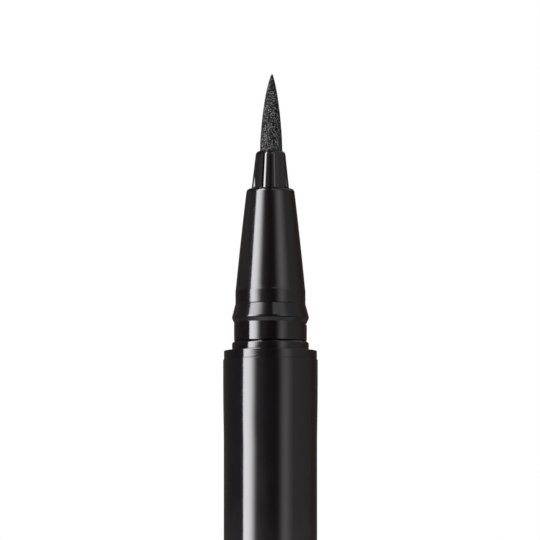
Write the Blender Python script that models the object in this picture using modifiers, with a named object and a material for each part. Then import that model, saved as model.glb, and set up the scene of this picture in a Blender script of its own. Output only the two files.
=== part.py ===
# Lash adhesive pen: a free-flow pen with a ground felt tip, standing on its posted cap.
# Metres, +Z up, origin on the table under the middle of the cap's closed end.
# Every round piece is a turned profile, given as (radius, height) from its own datum.

import math

import bmesh
import bpy
from mathutils import Matrix

MM = 0.001

# Fits between pieces
PRESS_FIT = 0.03 * MM  # radial gap left where one moulding is pressed into another
SEAT_GAP = 0.03 * MM  # gap left between two faces that rest on each other
CAP_FIT = 0.032 * MM  # radial gap between the cap and the rings that centre it
FIN_FIT = 0.05 * MM  # radial gap round the collector in its chamber

# Barrel
BARREL_LENGTH = 91.0 * MM
BARREL_RADIUS = 5.18 * MM
BARREL_WALL = 1.13 * MM
SOCKET_STEP = 0.13 * MM  # the end sockets are this much wider than the tank
MOUTH_SWELL = 0.076 * MM  # the pressed-in nose spreads the mouth by this much
MOUTH_LEVELS = (0.0, 0.3, 0.55, 0.75, 0.9, 1.05)  # rings of the swelling, in plug lengths
MOUTH_FADE = 1.8  # higher keeps the swelling nearer the mouth's own width
MOUTH_CHAMFER = 0.08 * MM

# Nose section, from the flange up
FLANGE_HEIGHT = 1.0 * MM
FLANGE_INSET = 0.015 * MM  # the flange is this much smaller than the barrel
FLANGE_EDGE = 0.07 * MM
RING_HEIGHT = 0.8 * MM
RING_CHAMFER = 0.35 * MM
NECK_HEIGHT = 1.75 * MM
NECK_GROOVE = 0.05 * MM  # depth of the shallow groove under the bead
GROOVE_HEIGHT = 0.16 * MM
BEAD_UNDERSIDE = 0.5 * MM
BEAD_LAND = 0.22 * MM
FLARE_HEIGHT = 1.4 * MM
BAND_HEIGHT = 1.6 * MM
BAND_EDGE = 0.12 * MM
CONE_HEIGHT = 11.3 * MM
RING_STEP = 0.221 * MM  # the locating ring stands this far out of the neck
BEAD_STEP = 0.216 * MM  # and the snap bead this far
BAND_STEP = 0.169 * MM  # the band above the flare is this much smaller than the neck
CONE_STEP = 0.03 * MM
NOSE_FRONT_WALL = 0.715 * MM
NOSE_FRONT_FILLET = 0.3 * MM

# Plug below the flange, pressed into the barrel
PLUG_LENGTH = 9.0 * MM
PLUG_CHAMFER = 0.35 * MM
CHAMBER_WALL = 0.8 * MM  # wall left behind the seal's groove
CHAMBER_TAPER = 2.5 * MM

# Rubber seals
SEAL_CORD = 0.35 * MM  # radius of the ring's cord
SEAL_SHOULDER = 2.2 * MM  # from the flange to the middle of the groove
SEAL_SIDE_GAP = 0.08 * MM

# Tip and its holder
TIP_RADIUS = 1.22 * MM
TIP_LENGTH = 8.6 * MM  # what stands out of the holder
TIP_POINT = 0.05 * MM
TIP_CURVE = ((0.7, 0.743), (1.0, 0.203))  # control points, in tip radii and tip lengths
TIP_LEAN = 0.17 * MM  # how far the worn point has set to one side
TIP_LEAN_FADE = 1.6  # higher keeps the lean nearer the point
TIP_BELOW_STEM = 1.8 * MM
HOLDER_LIP = 0.37 * MM
HOLDER_HEIGHT = 4.14 * MM
HOLDER_FILLET = 0.3 * MM
HOLDER_STEM_WALL = 0.64 * MM
HOLDER_SHOULDER = 0.18 * MM
HOLDER_SEAT = 6.5 * MM  # length of the bore that grips the holder
HOLDER_STEM_BELOW = 0.7 * MM
FLUTE_DEPTH = 0.22 * MM
FLUTE_WIDTH = 0.44 * MM
FLUTE_COUNT = 3
FLUTE_TURN = math.radians(-30)  # direction of the first flute
VENT_GROOVE = 0.12 * MM  # the flutes run out to the air under the holder's shoulder
VENT_HEIGHT = 1.0 * MM  # each one opens into a V-shaped notch that fades out up the cone
VENT_HALF_WIDTH = 0.2 * MM
VENT_DEPTH = 0.14 * MM

# Feed core and collector
CORE_RADIUS = 0.85 * MM
CORE_IN_TIP = 2.0 * MM
CORE_IN_TANK = 1.5 * MM
COLLECTOR_TUBE_WALL = 0.55 * MM
COLLECTOR_TOP_GAP = 0.3 * MM
COLLECTOR_SPIGOT = 2.0 * MM
COLLECTOR_FLANGE_RADIUS = 3.4 * MM
COLLECTOR_FLANGE = 1.0 * MM
COLLECTOR_STEM = 1.5 * MM
COLLECTOR_STEM_WALL = 0.7 * MM
FIN_PITCH = 1.1 * MM
FIN_THICKNESS = 0.4 * MM
AIR_SLOT_WIDTH = 0.6 * MM
LIQUID_SLOT_WIDTH = 0.3 * MM

# Tail plug and the ball in the tank
TAIL_FLANGE = 0.8 * MM
TAIL_PLUG_LENGTH = 7.5 * MM
TAIL_BOSS = 8.0 * MM
TAIL_BOSS_CHAMFER = 0.4 * MM
TAIL_RECESS_WALL = 0.8 * MM  # wall left behind the seal's groove
TAIL_BOSS_WALL = 1.0 * MM
TAIL_END_WALL = 1.2 * MM
TAIL_DISH = 0.4 * MM
TAIL_RIM = 0.5 * MM
BALL_RADIUS = 2.0 * MM

# Cap, measured from its mouth
CAP_WALL = 0.88 * MM
CAP_END_WALL = 1.6 * MM
CAP_END_FILLET = 0.6 * MM
CAP_MOUTH_CHAMFER = 0.1 * MM
CAP_LEAD_IN = 0.12 * MM
SNAP_RIB_HEIGHT = 0.15 * MM
SNAP_RIB_START = 1.5 * MM
SNAP_RIB_SLOPE = 0.35 * MM
SNAP_RIB_LENGTH = 0.7 * MM
SNAP_ZONE = 6.0 * MM
DEEP_BORE_STEP = 0.1 * MM
CAP_RIB_COUNT = 6
CAP_RIB_WIDTH = 0.8 * MM
CAP_RIB_ABOVE = 3.1 * MM  # how far the ribs reach past the inner cap's mouth
CAP_RIB_LEAD_IN = 0.8 * MM
BOSS_IN_RIB = 0.05 * MM  # radial gap between the snap rib and the posting boss

# Inner cap, which seals on the front of the nose
INNER_CAP_OVERLAP = 2.4 * MM
INNER_CAP_LIP = 0.47 * MM
INNER_CAP_FLOOR = 0.8 * MM
INNER_CAP_STEP = 0.2 * MM
INNER_CAP_SHOULDER = 0.25 * MM
INNER_CAP_FILLET = 0.4 * MM
TIP_CLEARANCE = 2.8 * MM  # free length past the point when the cap is on

# Facets round a full turn
COARSE, MEDIUM, FINE = 24, 30, 40
TIP_RINGS = 13
SEAL_SIDES = 8
BALL_RINGS = 12
ARC_STEPS = 3
ARC_SHARE = 0.45  # the most of a straight run that one rounded corner may take
OVERCUT = 0.5 * MM  # how far a cutter runs past what it cuts
WELD_DISTANCE = 0.001 * MM
SHARP_ANGLE = math.radians(28)

# Radii worked out from the sizes above
TANK_RADIUS = BARREL_RADIUS - BARREL_WALL
SOCKET_RADIUS = TANK_RADIUS + SOCKET_STEP
PLUG_RADIUS = SOCKET_RADIUS - PRESS_FIT
SEAL_OUTER = PLUG_RADIUS
SEAL_CENTRE = SEAL_OUTER - SEAL_CORD
GROOVE_FLOOR = SEAL_CENTRE - SEAL_CORD - PRESS_FIT
CHAMBER_RADIUS = GROOVE_FLOOR - CHAMBER_WALL
FLANGE_RADIUS = BARREL_RADIUS - FLANGE_INSET
CAP_BORE = BARREL_RADIUS - CAP_WALL
RING_RADIUS = CAP_BORE - CAP_FIT
NECK_RADIUS = RING_RADIUS - RING_STEP
BEAD_RADIUS = NECK_RADIUS + BEAD_STEP
BAND_RADIUS = NECK_RADIUS - BAND_STEP
CONE_RADIUS = BAND_RADIUS - CONE_STEP
SNAP_RIB_RADIUS = CAP_BORE - SNAP_RIB_HEIGHT
DEEP_BORE = CAP_BORE - DEEP_BORE_STEP
BOSS_RADIUS = SNAP_RIB_RADIUS - BOSS_IN_RIB
HOLDER_BORE = TIP_RADIUS + PRESS_FIT
HOLDER_STEM_RADIUS = HOLDER_BORE + HOLDER_STEM_WALL
HOLDER_BASE_RADIUS = HOLDER_STEM_RADIUS + HOLDER_SHOULDER
HOLDER_MOUTH_RADIUS = HOLDER_BORE + HOLDER_LIP
HOLDER_SLOPE = (HOLDER_BASE_RADIUS - HOLDER_MOUTH_RADIUS) / HOLDER_HEIGHT
FRONT_BORE = HOLDER_STEM_RADIUS + PRESS_FIT
NOSE_FRONT_RADIUS = FRONT_BORE + NOSE_FRONT_WALL
CORE_BORE = CORE_RADIUS + FIN_FIT
COLLECTOR_TUBE = CORE_BORE + COLLECTOR_TUBE_WALL
COLLECTOR_STEM_RADIUS = CORE_BORE + COLLECTOR_STEM_WALL
FIN_RADIUS = CHAMBER_RADIUS - FIN_FIT
TAIL_RECESS = GROOVE_FLOOR - TAIL_RECESS_WALL
BOSS_BORE = BOSS_RADIUS - TAIL_BOSS_WALL

# Heights above the flange's upper face
NECK_FOOT = RING_HEIGHT + RING_CHAMFER
NECK_TOP = NECK_FOOT + NECK_HEIGHT
BEAD_FOOT = NECK_TOP + GROOVE_HEIGHT
BEAD_LOW = BEAD_FOOT + BEAD_UNDERSIDE
BEAD_HIGH = BEAD_LOW + BEAD_LAND
FLARE_TOP = BEAD_HIGH + FLARE_HEIGHT
BAND_TOP = FLARE_TOP + BAND_HEIGHT
NOSE_LENGTH = BAND_TOP + CONE_HEIGHT
CONE_SLOPE = (CONE_RADIUS - NOSE_FRONT_RADIUS) / CONE_HEIGHT
FRONT_BORE_FOOT = NOSE_LENGTH - HOLDER_SEAT
CHAMBER_TOP = FRONT_BORE_FOOT - CHAMBER_TAPER
STEM_FOOT = FRONT_BORE_FOOT - HOLDER_STEM_BELOW
TIP_FOOT = STEM_FOOT - TIP_BELOW_STEM
COLLECTOR_TOP = TIP_FOOT - COLLECTOR_TOP_GAP
PLUG_FOOT = -FLANGE_HEIGHT - PLUG_LENGTH
HOLDER_FOOT = NOSE_LENGTH + SEAT_GAP
HOLDER_TOP = HOLDER_FOOT + HOLDER_HEIGHT
TIP_TOP = HOLDER_TOP + TIP_LENGTH
COLLECTOR_SEAT = PLUG_FOOT - SEAT_GAP
COLLECTOR_FOOT = COLLECTOR_SEAT - COLLECTOR_FLANGE - COLLECTOR_STEM
CORE_FOOT = COLLECTOR_FOOT - CORE_IN_TANK

# Heights above the table
CAP_LENGTH = TIP_TOP + TIP_CLEARANCE + INNER_CAP_FLOOR + SEAT_GAP + CAP_END_WALL
TAIL_LEVEL = CAP_LENGTH + SEAT_GAP
BARREL_FOOT = TAIL_LEVEL + TAIL_FLANGE + SEAT_GAP
BARREL_TOP = BARREL_FOOT + BARREL_LENGTH
FLANGE_LEVEL = BARREL_TOP + SEAT_GAP + FLANGE_HEIGHT
TANK_FLOOR = BARREL_FOOT + TAIL_PLUG_LENGTH - TAIL_DISH
DISH_RADIUS = PLUG_RADIUS - TAIL_RIM
DISH_COSINE = math.cos(math.atan2(TAIL_DISH, DISH_RADIUS))
BALL_LEVEL = TANK_FLOOR + BALL_RADIUS / DISH_COSINE + SEAT_GAP
BALL_TRAVEL = FLANGE_LEVEL + CORE_FOOT - SEAT_GAP - BALL_LEVEL - BALL_RADIUS


def clear_scene():
    for obj in list(bpy.data.objects):
        bpy.data.objects.remove(obj, do_unlink=True)


def new_collection(name):
    made = bpy.data.collections.new(name)
    bpy.context.scene.collection.children.link(made)
    return made


def new_material(name, colour, roughness, metallic=0.0):
    material = bpy.data.materials.new(name)
    material.use_nodes = True
    shader = material.node_tree.nodes["Principled BSDF"]
    shader.inputs["Base Color"].default_value = (*colour, 1.0)
    shader.inputs["Roughness"].default_value = roughness
    shader.inputs["Metallic"].default_value = metallic
    return material


def new_object(name, mesh, collection):
    obj = bpy.data.objects.new(name, mesh)
    collection.objects.link(obj)
    return obj


def arc(before, corner, after, radius):
    """Points of the arc that rounds a corner between two straight runs."""
    def towards(point):
        step = (point[0] - corner[0], point[1] - corner[1])
        length = math.hypot(*step)
        return (step[0] / length, step[1] / length), length

    (ux, uz), before_length = towards(before)
    (vx, vz), after_length = towards(after)
    half = math.acos(max(-1.0, min(1.0, ux * vx + uz * vz))) / 2
    radius = min(radius, ARC_SHARE * min(before_length, after_length) * math.tan(half))
    reach = radius / math.sin(half)
    middle = math.hypot(ux + vx, uz + vz)
    centre = (corner[0] + (ux + vx) / middle * reach, corner[1] + (uz + vz) / middle * reach)
    tangent = radius / math.tan(half)
    start = (corner[0] + ux * tangent - centre[0], corner[1] + uz * tangent - centre[1])
    end = (corner[0] + vx * tangent - centre[0], corner[1] + vz * tangent - centre[1])
    sweep = math.pi - 2 * half
    points = []
    for step in range(ARC_STEPS + 1):
        share = step / ARC_STEPS
        a = math.sin((1 - share) * sweep) / math.sin(sweep)
        b = math.sin(share * sweep) / math.sin(sweep)
        points.append((centre[0] + a * start[0] + b * end[0], centre[1] + a * start[1] + b * end[1]))
    return points


def rounded(corners):
    """The outline through (radius, height) corners; one with a third number is rounded by it."""
    points = []
    for index, corner in enumerate(corners):
        if len(corner) == 2:
            points.append(corner)
        else:
            before = corners[index - 1][:2]
            after = corners[(index + 1) % len(corners)][:2]
            points.extend(arc(before, corner[:2], after, corner[2]))
    return points


def shade(obj):
    """Turns the object's modifiers into its mesh and shades it smooth, with its edges sharp."""
    graph = bpy.context.evaluated_depsgraph_get()
    mesh = bpy.data.meshes.new_from_object(obj.evaluated_get(graph))
    mesh.name = obj.name
    obj.modifiers.clear()
    obj.data = mesh
    mesh.shade_smooth()
    mesh.set_sharp_from_angle(angle=SHARP_ANGLE)


def turned(name, corners, facets, collection):
    """A turned piece. Its outline runs down the outer side, and closes if it starts off the axis."""
    outline = rounded(corners)
    mesh = bpy.data.meshes.new(name)
    edges = [(i, i + 1) for i in range(len(outline) - 1)]
    if outline[0][0] > 0:
        edges.append((len(outline) - 1, 0))
    mesh.from_pydata([(radius, 0.0, height) for radius, height in outline], edges, [])
    obj = new_object(name, mesh, collection)
    screw = obj.modifiers.new("turn", "SCREW")
    screw.axis = "Z"
    screw.angle = math.tau
    screw.steps = facets
    screw.render_steps = facets
    screw.use_merge_vertices = True
    screw.merge_threshold = WELD_DISTANCE
    return obj


def boolean(obj, tool, operation):
    modifier = obj.modifiers.new(operation.lower(), "BOOLEAN")
    modifier.operation = operation
    modifier.solver = "EXACT"
    modifier.object = tool
    tool.hide_render = True
    tool.display_type = "WIRE"


def block(mesh, low, high, turn=0.0, lowered=0.0):
    """Adds a box from low to high, turned about Z. lowered drops its inner upper edge as a lead-in."""
    made = bmesh.ops.create_cube(mesh, size=1.0)["verts"]
    for vert in made:
        inner_top = vert.co.x < 0 and vert.co.z > 0
        vert.co = [low[k] + (vert.co[k] + 0.5) * (high[k] - low[k]) for k in range(3)]
        if inner_top:
            vert.co.z -= lowered
    bmesh.ops.rotate(mesh, verts=made, cent=(0, 0, 0), matrix=Matrix.Rotation(turn, 3, "Z"))


def tool_from(name, mesh, collection):
    data = bpy.data.meshes.new(name)
    mesh.to_mesh(data)
    mesh.free()
    return new_object(name, data, collection)


def seal_groove(middle):
    """Corners of the groove that a rubber seal sits in, from its upper edge down."""
    half = SEAL_CORD + SEAL_SIDE_GAP
    return [
        (PLUG_RADIUS, middle + half),
        (GROOVE_FLOOR, middle + half),
        (GROOVE_FLOOR, middle - half),
        (PLUG_RADIUS, middle - half),
    ]


def make_nose_section(parts):
    """Cone, snap bead, neck, flange and plug in one moulding. Datum: the flange's upper face."""
    outside = [
        (NOSE_FRONT_RADIUS, NOSE_LENGTH, NOSE_FRONT_FILLET),
        (CONE_RADIUS, BAND_TOP),
        (BAND_RADIUS, BAND_TOP - BAND_EDGE),
        (BAND_RADIUS, FLARE_TOP),
        (BEAD_RADIUS, BEAD_HIGH),
        (BEAD_RADIUS, BEAD_LOW),
        (NECK_RADIUS - NECK_GROOVE, BEAD_FOOT),
        (NECK_RADIUS, NECK_TOP),
        (NECK_RADIUS, NECK_FOOT),
        (RING_RADIUS, RING_HEIGHT),
        (RING_RADIUS, 0.0),
        (FLANGE_RADIUS - FLANGE_EDGE, 0.0),
        (FLANGE_RADIUS, -FLANGE_EDGE),
        (FLANGE_RADIUS, -FLANGE_HEIGHT),
        (PLUG_RADIUS, -FLANGE_HEIGHT),
    ]
    plug = [
        *seal_groove(-FLANGE_HEIGHT - SEAL_SHOULDER),
        (PLUG_RADIUS, PLUG_FOOT + PLUG_CHAMFER),
        (PLUG_RADIUS - PLUG_CHAMFER, PLUG_FOOT),
    ]
    inside = [
        (CHAMBER_RADIUS, PLUG_FOOT),
        (CHAMBER_RADIUS, CHAMBER_TOP),
        (FRONT_BORE, FRONT_BORE_FOOT),
        (FRONT_BORE, NOSE_LENGTH),
    ]
    return turned("nose_section", outside + plug + inside, FINE, parts)


def vent_notch(mesh, turn):
    """Adds a V-shaped wedge from just under the holder's shoulder to where it leaves the cone."""
    foot = HOLDER_BASE_RADIUS - VENT_DEPTH
    head = HOLDER_BASE_RADIUS - VENT_HEIGHT * HOLDER_SLOPE
    points = []
    for inner, height in ((foot, -SEAT_GAP / 2), (head, VENT_HEIGHT)):
        outer = inner + VENT_DEPTH + OVERCUT
        half_width = (outer - inner) * VENT_HALF_WIDTH / VENT_DEPTH
        points += [(inner, 0.0, height), (outer, -half_width, height), (outer, half_width, height)]
    made = [mesh.verts.new(point) for point in points]
    bmesh.ops.convex_hull(mesh, input=made)
    bmesh.ops.rotate(mesh, verts=made, cent=(0, 0, 0), matrix=Matrix.Rotation(turn, 3, "Z"))


def make_tip_holder(parts, tools):
    """Small cone that grips the tip, with vent flutes down its stem. Datum: its shoulder."""
    stem = HOLDER_FOOT - STEM_FOOT
    corners = [
        (HOLDER_MOUTH_RADIUS, HOLDER_HEIGHT, HOLDER_FILLET),
        (HOLDER_BASE_RADIUS, 0.0),
        (HOLDER_STEM_RADIUS, 0.0),
        (HOLDER_STEM_RADIUS, -stem + FLUTE_DEPTH),
        (HOLDER_STEM_RADIUS - FLUTE_DEPTH, -stem),
        (HOLDER_BORE, -stem),
        (HOLDER_BORE, HOLDER_HEIGHT),
    ]
    holder = turned("tip_holder", corners, MEDIUM, parts)
    flutes = bmesh.new()
    notches = bmesh.new()
    low = (HOLDER_STEM_RADIUS - FLUTE_DEPTH, -FLUTE_WIDTH / 2, -stem - OVERCUT)
    high = (HOLDER_BASE_RADIUS + OVERCUT, FLUTE_WIDTH / 2, VENT_GROOVE)
    for index in range(FLUTE_COUNT):
        turn = FLUTE_TURN + math.tau * index / FLUTE_COUNT
        block(flutes, low, high, turn)
        vent_notch(notches, turn)
    boolean(holder, tool_from("vent_flutes", flutes, tools), "DIFFERENCE")
    boolean(holder, tool_from("vent_notches", notches, tools), "DIFFERENCE")
    return holder


def tip_outline():
    """The ground point's outline, a cubic curve from the apex down to the holder."""
    controls = [
        (TIP_POINT, TIP_LENGTH),
        *((radii * TIP_RADIUS, lengths * TIP_LENGTH) for radii, lengths in TIP_CURVE),
        (TIP_RADIUS, 0.0),
    ]
    points = []
    for step in range(TIP_RINGS + 1):
        t = step / TIP_RINGS
        weights = ((1 - t) ** 3, 3 * t * (1 - t) ** 2, 3 * t * t * (1 - t), t**3)
        points.append(tuple(sum(w * c[k] for w, c in zip(weights, controls)) for k in (0, 1)))
    return points


def make_brush_tip(parts):
    """Ground felt tip with its stem and the hole for the feed core. Datum: the holder's mouth."""
    foot = TIP_FOOT - HOLDER_TOP
    corners = [
        (0.0, TIP_LENGTH + TIP_POINT / 2),
        *tip_outline(),
        (TIP_RADIUS, foot),
        (CORE_BORE, foot),
        (CORE_BORE, foot + CORE_IN_TIP),
        (0.0, foot + CORE_IN_TIP),
    ]
    tip = turned("brush_tip", corners, MEDIUM, parts)
    shade(tip)
    for vert in tip.data.vertices:
        share = max(0.0, vert.co.z) / TIP_LENGTH
        vert.co.x += TIP_LEAN * share**TIP_LEAN_FADE
    return tip


def make_collector(parts, tools):
    """Finned regulator round the feed core, with an air slot and a liquid slot. Datum: its seat."""
    corners = [(CORE_BORE, COLLECTOR_TOP - COLLECTOR_SEAT), (COLLECTOR_TUBE, COLLECTOR_TOP - COLLECTOR_SEAT)]
    room = COLLECTOR_TOP - COLLECTOR_SEAT - COLLECTOR_SPIGOT
    for index in range(int(room / FIN_PITCH), 0, -1):
        low = COLLECTOR_SPIGOT + index * FIN_PITCH - FIN_THICKNESS
        corners += [
            (COLLECTOR_TUBE, low + FIN_THICKNESS),
            (FIN_RADIUS, low + FIN_THICKNESS),
            (FIN_RADIUS, low),
            (COLLECTOR_TUBE, low),
        ]
    corners += [
        (COLLECTOR_TUBE, COLLECTOR_SPIGOT),
        (FIN_RADIUS, COLLECTOR_SPIGOT),
        (FIN_RADIUS, 0.0),
        (COLLECTOR_FLANGE_RADIUS, 0.0),
        (COLLECTOR_FLANGE_RADIUS, -COLLECTOR_FLANGE),
        (COLLECTOR_STEM_RADIUS, -COLLECTOR_FLANGE),
        (COLLECTOR_STEM_RADIUS, -COLLECTOR_FLANGE - COLLECTOR_STEM),
        (CORE_BORE, -COLLECTOR_FLANGE - COLLECTOR_STEM),
    ]
    collector = turned("collector", corners, COARSE, parts)
    slots = bmesh.new()
    top = COLLECTOR_TOP - COLLECTOR_SEAT + OVERCUT
    floor = COLLECTOR_TUBE - COLLECTOR_TUBE_WALL / 3
    # The air slot opens the fins; the liquid slot also passes the spigot and the flange
    air_low = (floor, -AIR_SLOT_WIDTH / 2, COLLECTOR_SPIGOT + FIN_THICKNESS / 2)
    block(slots, air_low, (FIN_RADIUS + OVERCUT, AIR_SLOT_WIDTH / 2, top), math.pi / 2)
    liquid_low = (floor, -LIQUID_SLOT_WIDTH / 2, -COLLECTOR_FLANGE - OVERCUT)
    liquid_high = (COLLECTOR_FLANGE_RADIUS + OVERCUT, LIQUID_SLOT_WIDTH / 2, top)
    block(slots, liquid_low, liquid_high, -math.pi / 2)
    boolean(collector, tool_from("collector_slots", slots, tools), "DIFFERENCE")
    return collector


def make_feed_core(parts):
    """Fibre rod that carries the adhesive from the tank to the tip. Datum: its lower end."""
    length = TIP_FOOT + CORE_IN_TIP - SEAT_GAP - CORE_FOOT
    edge = CORE_RADIUS / 5
    corners = [
        (0.0, length),
        (CORE_RADIUS - edge, length),
        (CORE_RADIUS, length - edge),
        (CORE_RADIUS, edge),
        (CORE_RADIUS - edge, 0.0),
        (0.0, 0.0),
    ]
    return turned("feed_core", corners, COARSE, parts)


def make_seal(name, parts):
    """Rubber ring in a plug's groove. Datum: its middle."""
    corners = []
    for side in range(SEAL_SIDES):
        angle = -math.tau * side / SEAL_SIDES
        corners.append((SEAL_CENTRE + SEAL_CORD * math.cos(angle), SEAL_CORD * math.sin(angle)))
    return turned(name, corners, MEDIUM, parts)


def swollen_mouth():
    """Corners down the barrel's mouth, which the pressed-in plug has spread a little."""
    points = []
    for level in MOUTH_LEVELS:
        share = level / MOUTH_LEVELS[-1]
        spread = (1 + math.cos(math.pi * share**MOUTH_FADE)) / 2
        height = BARREL_LENGTH - MOUTH_CHAMFER - level * PLUG_LENGTH
        points.append((BARREL_RADIUS + MOUTH_SWELL * spread, height))
    return points


def make_barrel(parts):
    """Outer tube, which is also the tank. Datum: its lower end."""
    mouth = BARREL_RADIUS + MOUTH_SWELL - MOUTH_CHAMFER
    socket = PLUG_LENGTH + SEAT_GAP
    corners = [
        (mouth, BARREL_LENGTH),
        *swollen_mouth(),
        (BARREL_RADIUS, MOUTH_CHAMFER),
        (BARREL_RADIUS - MOUTH_CHAMFER, 0.0),
        (SOCKET_RADIUS, 0.0),
        (SOCKET_RADIUS, TAIL_PLUG_LENGTH + SEAT_GAP),
        (TANK_RADIUS, TAIL_PLUG_LENGTH + SEAT_GAP + SOCKET_STEP),
        (TANK_RADIUS, BARREL_LENGTH - socket - SOCKET_STEP),
        (SOCKET_RADIUS, BARREL_LENGTH - socket),
        (SOCKET_RADIUS, BARREL_LENGTH),
    ]
    return turned("barrel", corners, FINE, parts)


def make_tail_plug(parts):
    """Plug that closes the tank, with a boss that the cap is posted on. Datum: the barrel's end."""
    groove = SEAL_SHOULDER
    boss_top = -TAIL_FLANGE - RING_HEIGHT
    boss_foot = boss_top - TAIL_BOSS
    corners = [
        (0.0, TAIL_PLUG_LENGTH - TAIL_DISH),
        (DISH_RADIUS, TAIL_PLUG_LENGTH),
        (PLUG_RADIUS - PLUG_CHAMFER / 2, TAIL_PLUG_LENGTH),
        (PLUG_RADIUS, TAIL_PLUG_LENGTH - PLUG_CHAMFER),
        *seal_groove(groove),
        (PLUG_RADIUS, -SEAT_GAP),
        (FLANGE_RADIUS, -SEAT_GAP),
        (FLANGE_RADIUS, -SEAT_GAP - TAIL_FLANGE + FLANGE_EDGE),
        (FLANGE_RADIUS - FLANGE_EDGE, -SEAT_GAP - TAIL_FLANGE),
        (RING_RADIUS, -SEAT_GAP - TAIL_FLANGE),
        (RING_RADIUS, boss_top + RING_STEP),
        (BOSS_RADIUS, boss_top),
        (BOSS_RADIUS, boss_foot + TAIL_BOSS_CHAMFER),
        (BOSS_RADIUS - TAIL_BOSS_CHAMFER, boss_foot),
        (BOSS_BORE, boss_foot),
        (BOSS_BORE, boss_top),
        (TAIL_RECESS, 0.0),
        (TAIL_RECESS, TAIL_PLUG_LENGTH - TAIL_DISH - TAIL_END_WALL),
        (0.0, TAIL_PLUG_LENGTH - TAIL_DISH - TAIL_END_WALL),
    ]
    return turned("tail_plug", corners, FINE, parts)


def make_mixing_ball(parts):
    """Steel ball that stirs the adhesive when the pen is shaken. Datum: its centre."""
    mesh = bpy.data.meshes.new("mixing_ball")
    ball = bmesh.new()
    bmesh.ops.create_uvsphere(ball, u_segments=COARSE, v_segments=BALL_RINGS, radius=BALL_RADIUS)
    ball.to_mesh(mesh)
    ball.free()
    return new_object("mixing_ball", mesh, parts)


def cap_bore():
    """Corners up the cap's bore from its deep part to its mouth, with the snap rib."""
    rib = CAP_LENGTH - SNAP_RIB_START
    return [
        (DEEP_BORE, CAP_LENGTH - SNAP_ZONE - DEEP_BORE_STEP),
        (CAP_BORE, CAP_LENGTH - SNAP_ZONE),
        (CAP_BORE, rib - 2 * SNAP_RIB_SLOPE - SNAP_RIB_LENGTH),
        (SNAP_RIB_RADIUS, rib - SNAP_RIB_SLOPE - SNAP_RIB_LENGTH),
        (SNAP_RIB_RADIUS, rib - SNAP_RIB_SLOPE),
        (CAP_BORE, rib),
        (CAP_BORE, CAP_LENGTH - CAP_LEAD_IN),
        (CAP_BORE + CAP_LEAD_IN, CAP_LENGTH),
    ]


def make_cap_shell(parts, tools):
    """Cap, mouth up, with ribs that hold the inner cap. Datum: its closed end."""
    corners = [
        (0.0, CAP_END_WALL),
        (DEEP_BORE, CAP_END_WALL),
        *cap_bore(),
        (BARREL_RADIUS - CAP_MOUTH_CHAMFER, CAP_LENGTH),
        (BARREL_RADIUS, CAP_LENGTH - CAP_MOUTH_CHAMFER),
        (BARREL_RADIUS, 0.0, CAP_END_FILLET),
        (0.0, 0.0),
    ]
    cap = turned("cap_shell", corners, FINE, parts)
    ribs = bmesh.new()
    top = CAP_LENGTH - NOSE_LENGTH + INNER_CAP_OVERLAP + CAP_RIB_ABOVE
    low = (inner_cap_radius() + PRESS_FIT, -CAP_RIB_WIDTH / 2, CAP_END_WALL / 2)
    high = (DEEP_BORE + CAP_WALL / 2, CAP_RIB_WIDTH / 2, top)
    for index in range(CAP_RIB_COUNT):
        turn = math.tau * (index / CAP_RIB_COUNT + 0.5 / FINE)
        block(ribs, low, high, turn, CAP_RIB_LEAD_IN)
    boolean(cap, tool_from("cap_ribs", ribs, tools), "UNION")
    return cap


def inner_cap_radius():
    return nose_radius_at(NOSE_LENGTH - INNER_CAP_OVERLAP) + PRESS_FIT + INNER_CAP_LIP


def nose_radius_at(height):
    """Radius of the nose's cone at a height above the flange."""
    return NOSE_FRONT_RADIUS + (NOSE_LENGTH - height) * CONE_SLOPE


def make_inner_cap(parts):
    """Thimble that closes on the front of the nose. Datum: its closed end, mouth up."""
    outer = inner_cap_radius()
    foot = CAP_END_WALL + SEAT_GAP
    mouth = CAP_LENGTH - NOSE_LENGTH + INNER_CAP_OVERLAP - foot
    shoulder = CAP_LENGTH - NOSE_LENGTH - INNER_CAP_SHOULDER - foot
    seat_top = nose_radius_at(NOSE_LENGTH - INNER_CAP_OVERLAP) + PRESS_FIT
    bore = NOSE_FRONT_RADIUS - INNER_CAP_STEP
    corners = [
        (0.0, INNER_CAP_FLOOR),
        (bore, INNER_CAP_FLOOR, INNER_CAP_FILLET),
        (bore, shoulder),
        (NOSE_FRONT_RADIUS + PRESS_FIT, shoulder),
        (seat_top, mouth - INNER_CAP_LIP / 2),
        (seat_top + INNER_CAP_LIP / 2, mouth),
        (outer - INNER_CAP_LIP / 4, mouth),
        (outer, mouth - INNER_CAP_LIP / 4),
        (outer, 0.0, INNER_CAP_FILLET),
        (0.0, 0.0),
    ]
    return turned("inner_cap", corners, MEDIUM, parts)


def place(obj, height, parent, material):
    obj.location = (0.0, 0.0, height)
    obj.parent = parent
    obj.data.materials.clear()
    obj.data.materials.append(material)


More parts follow.
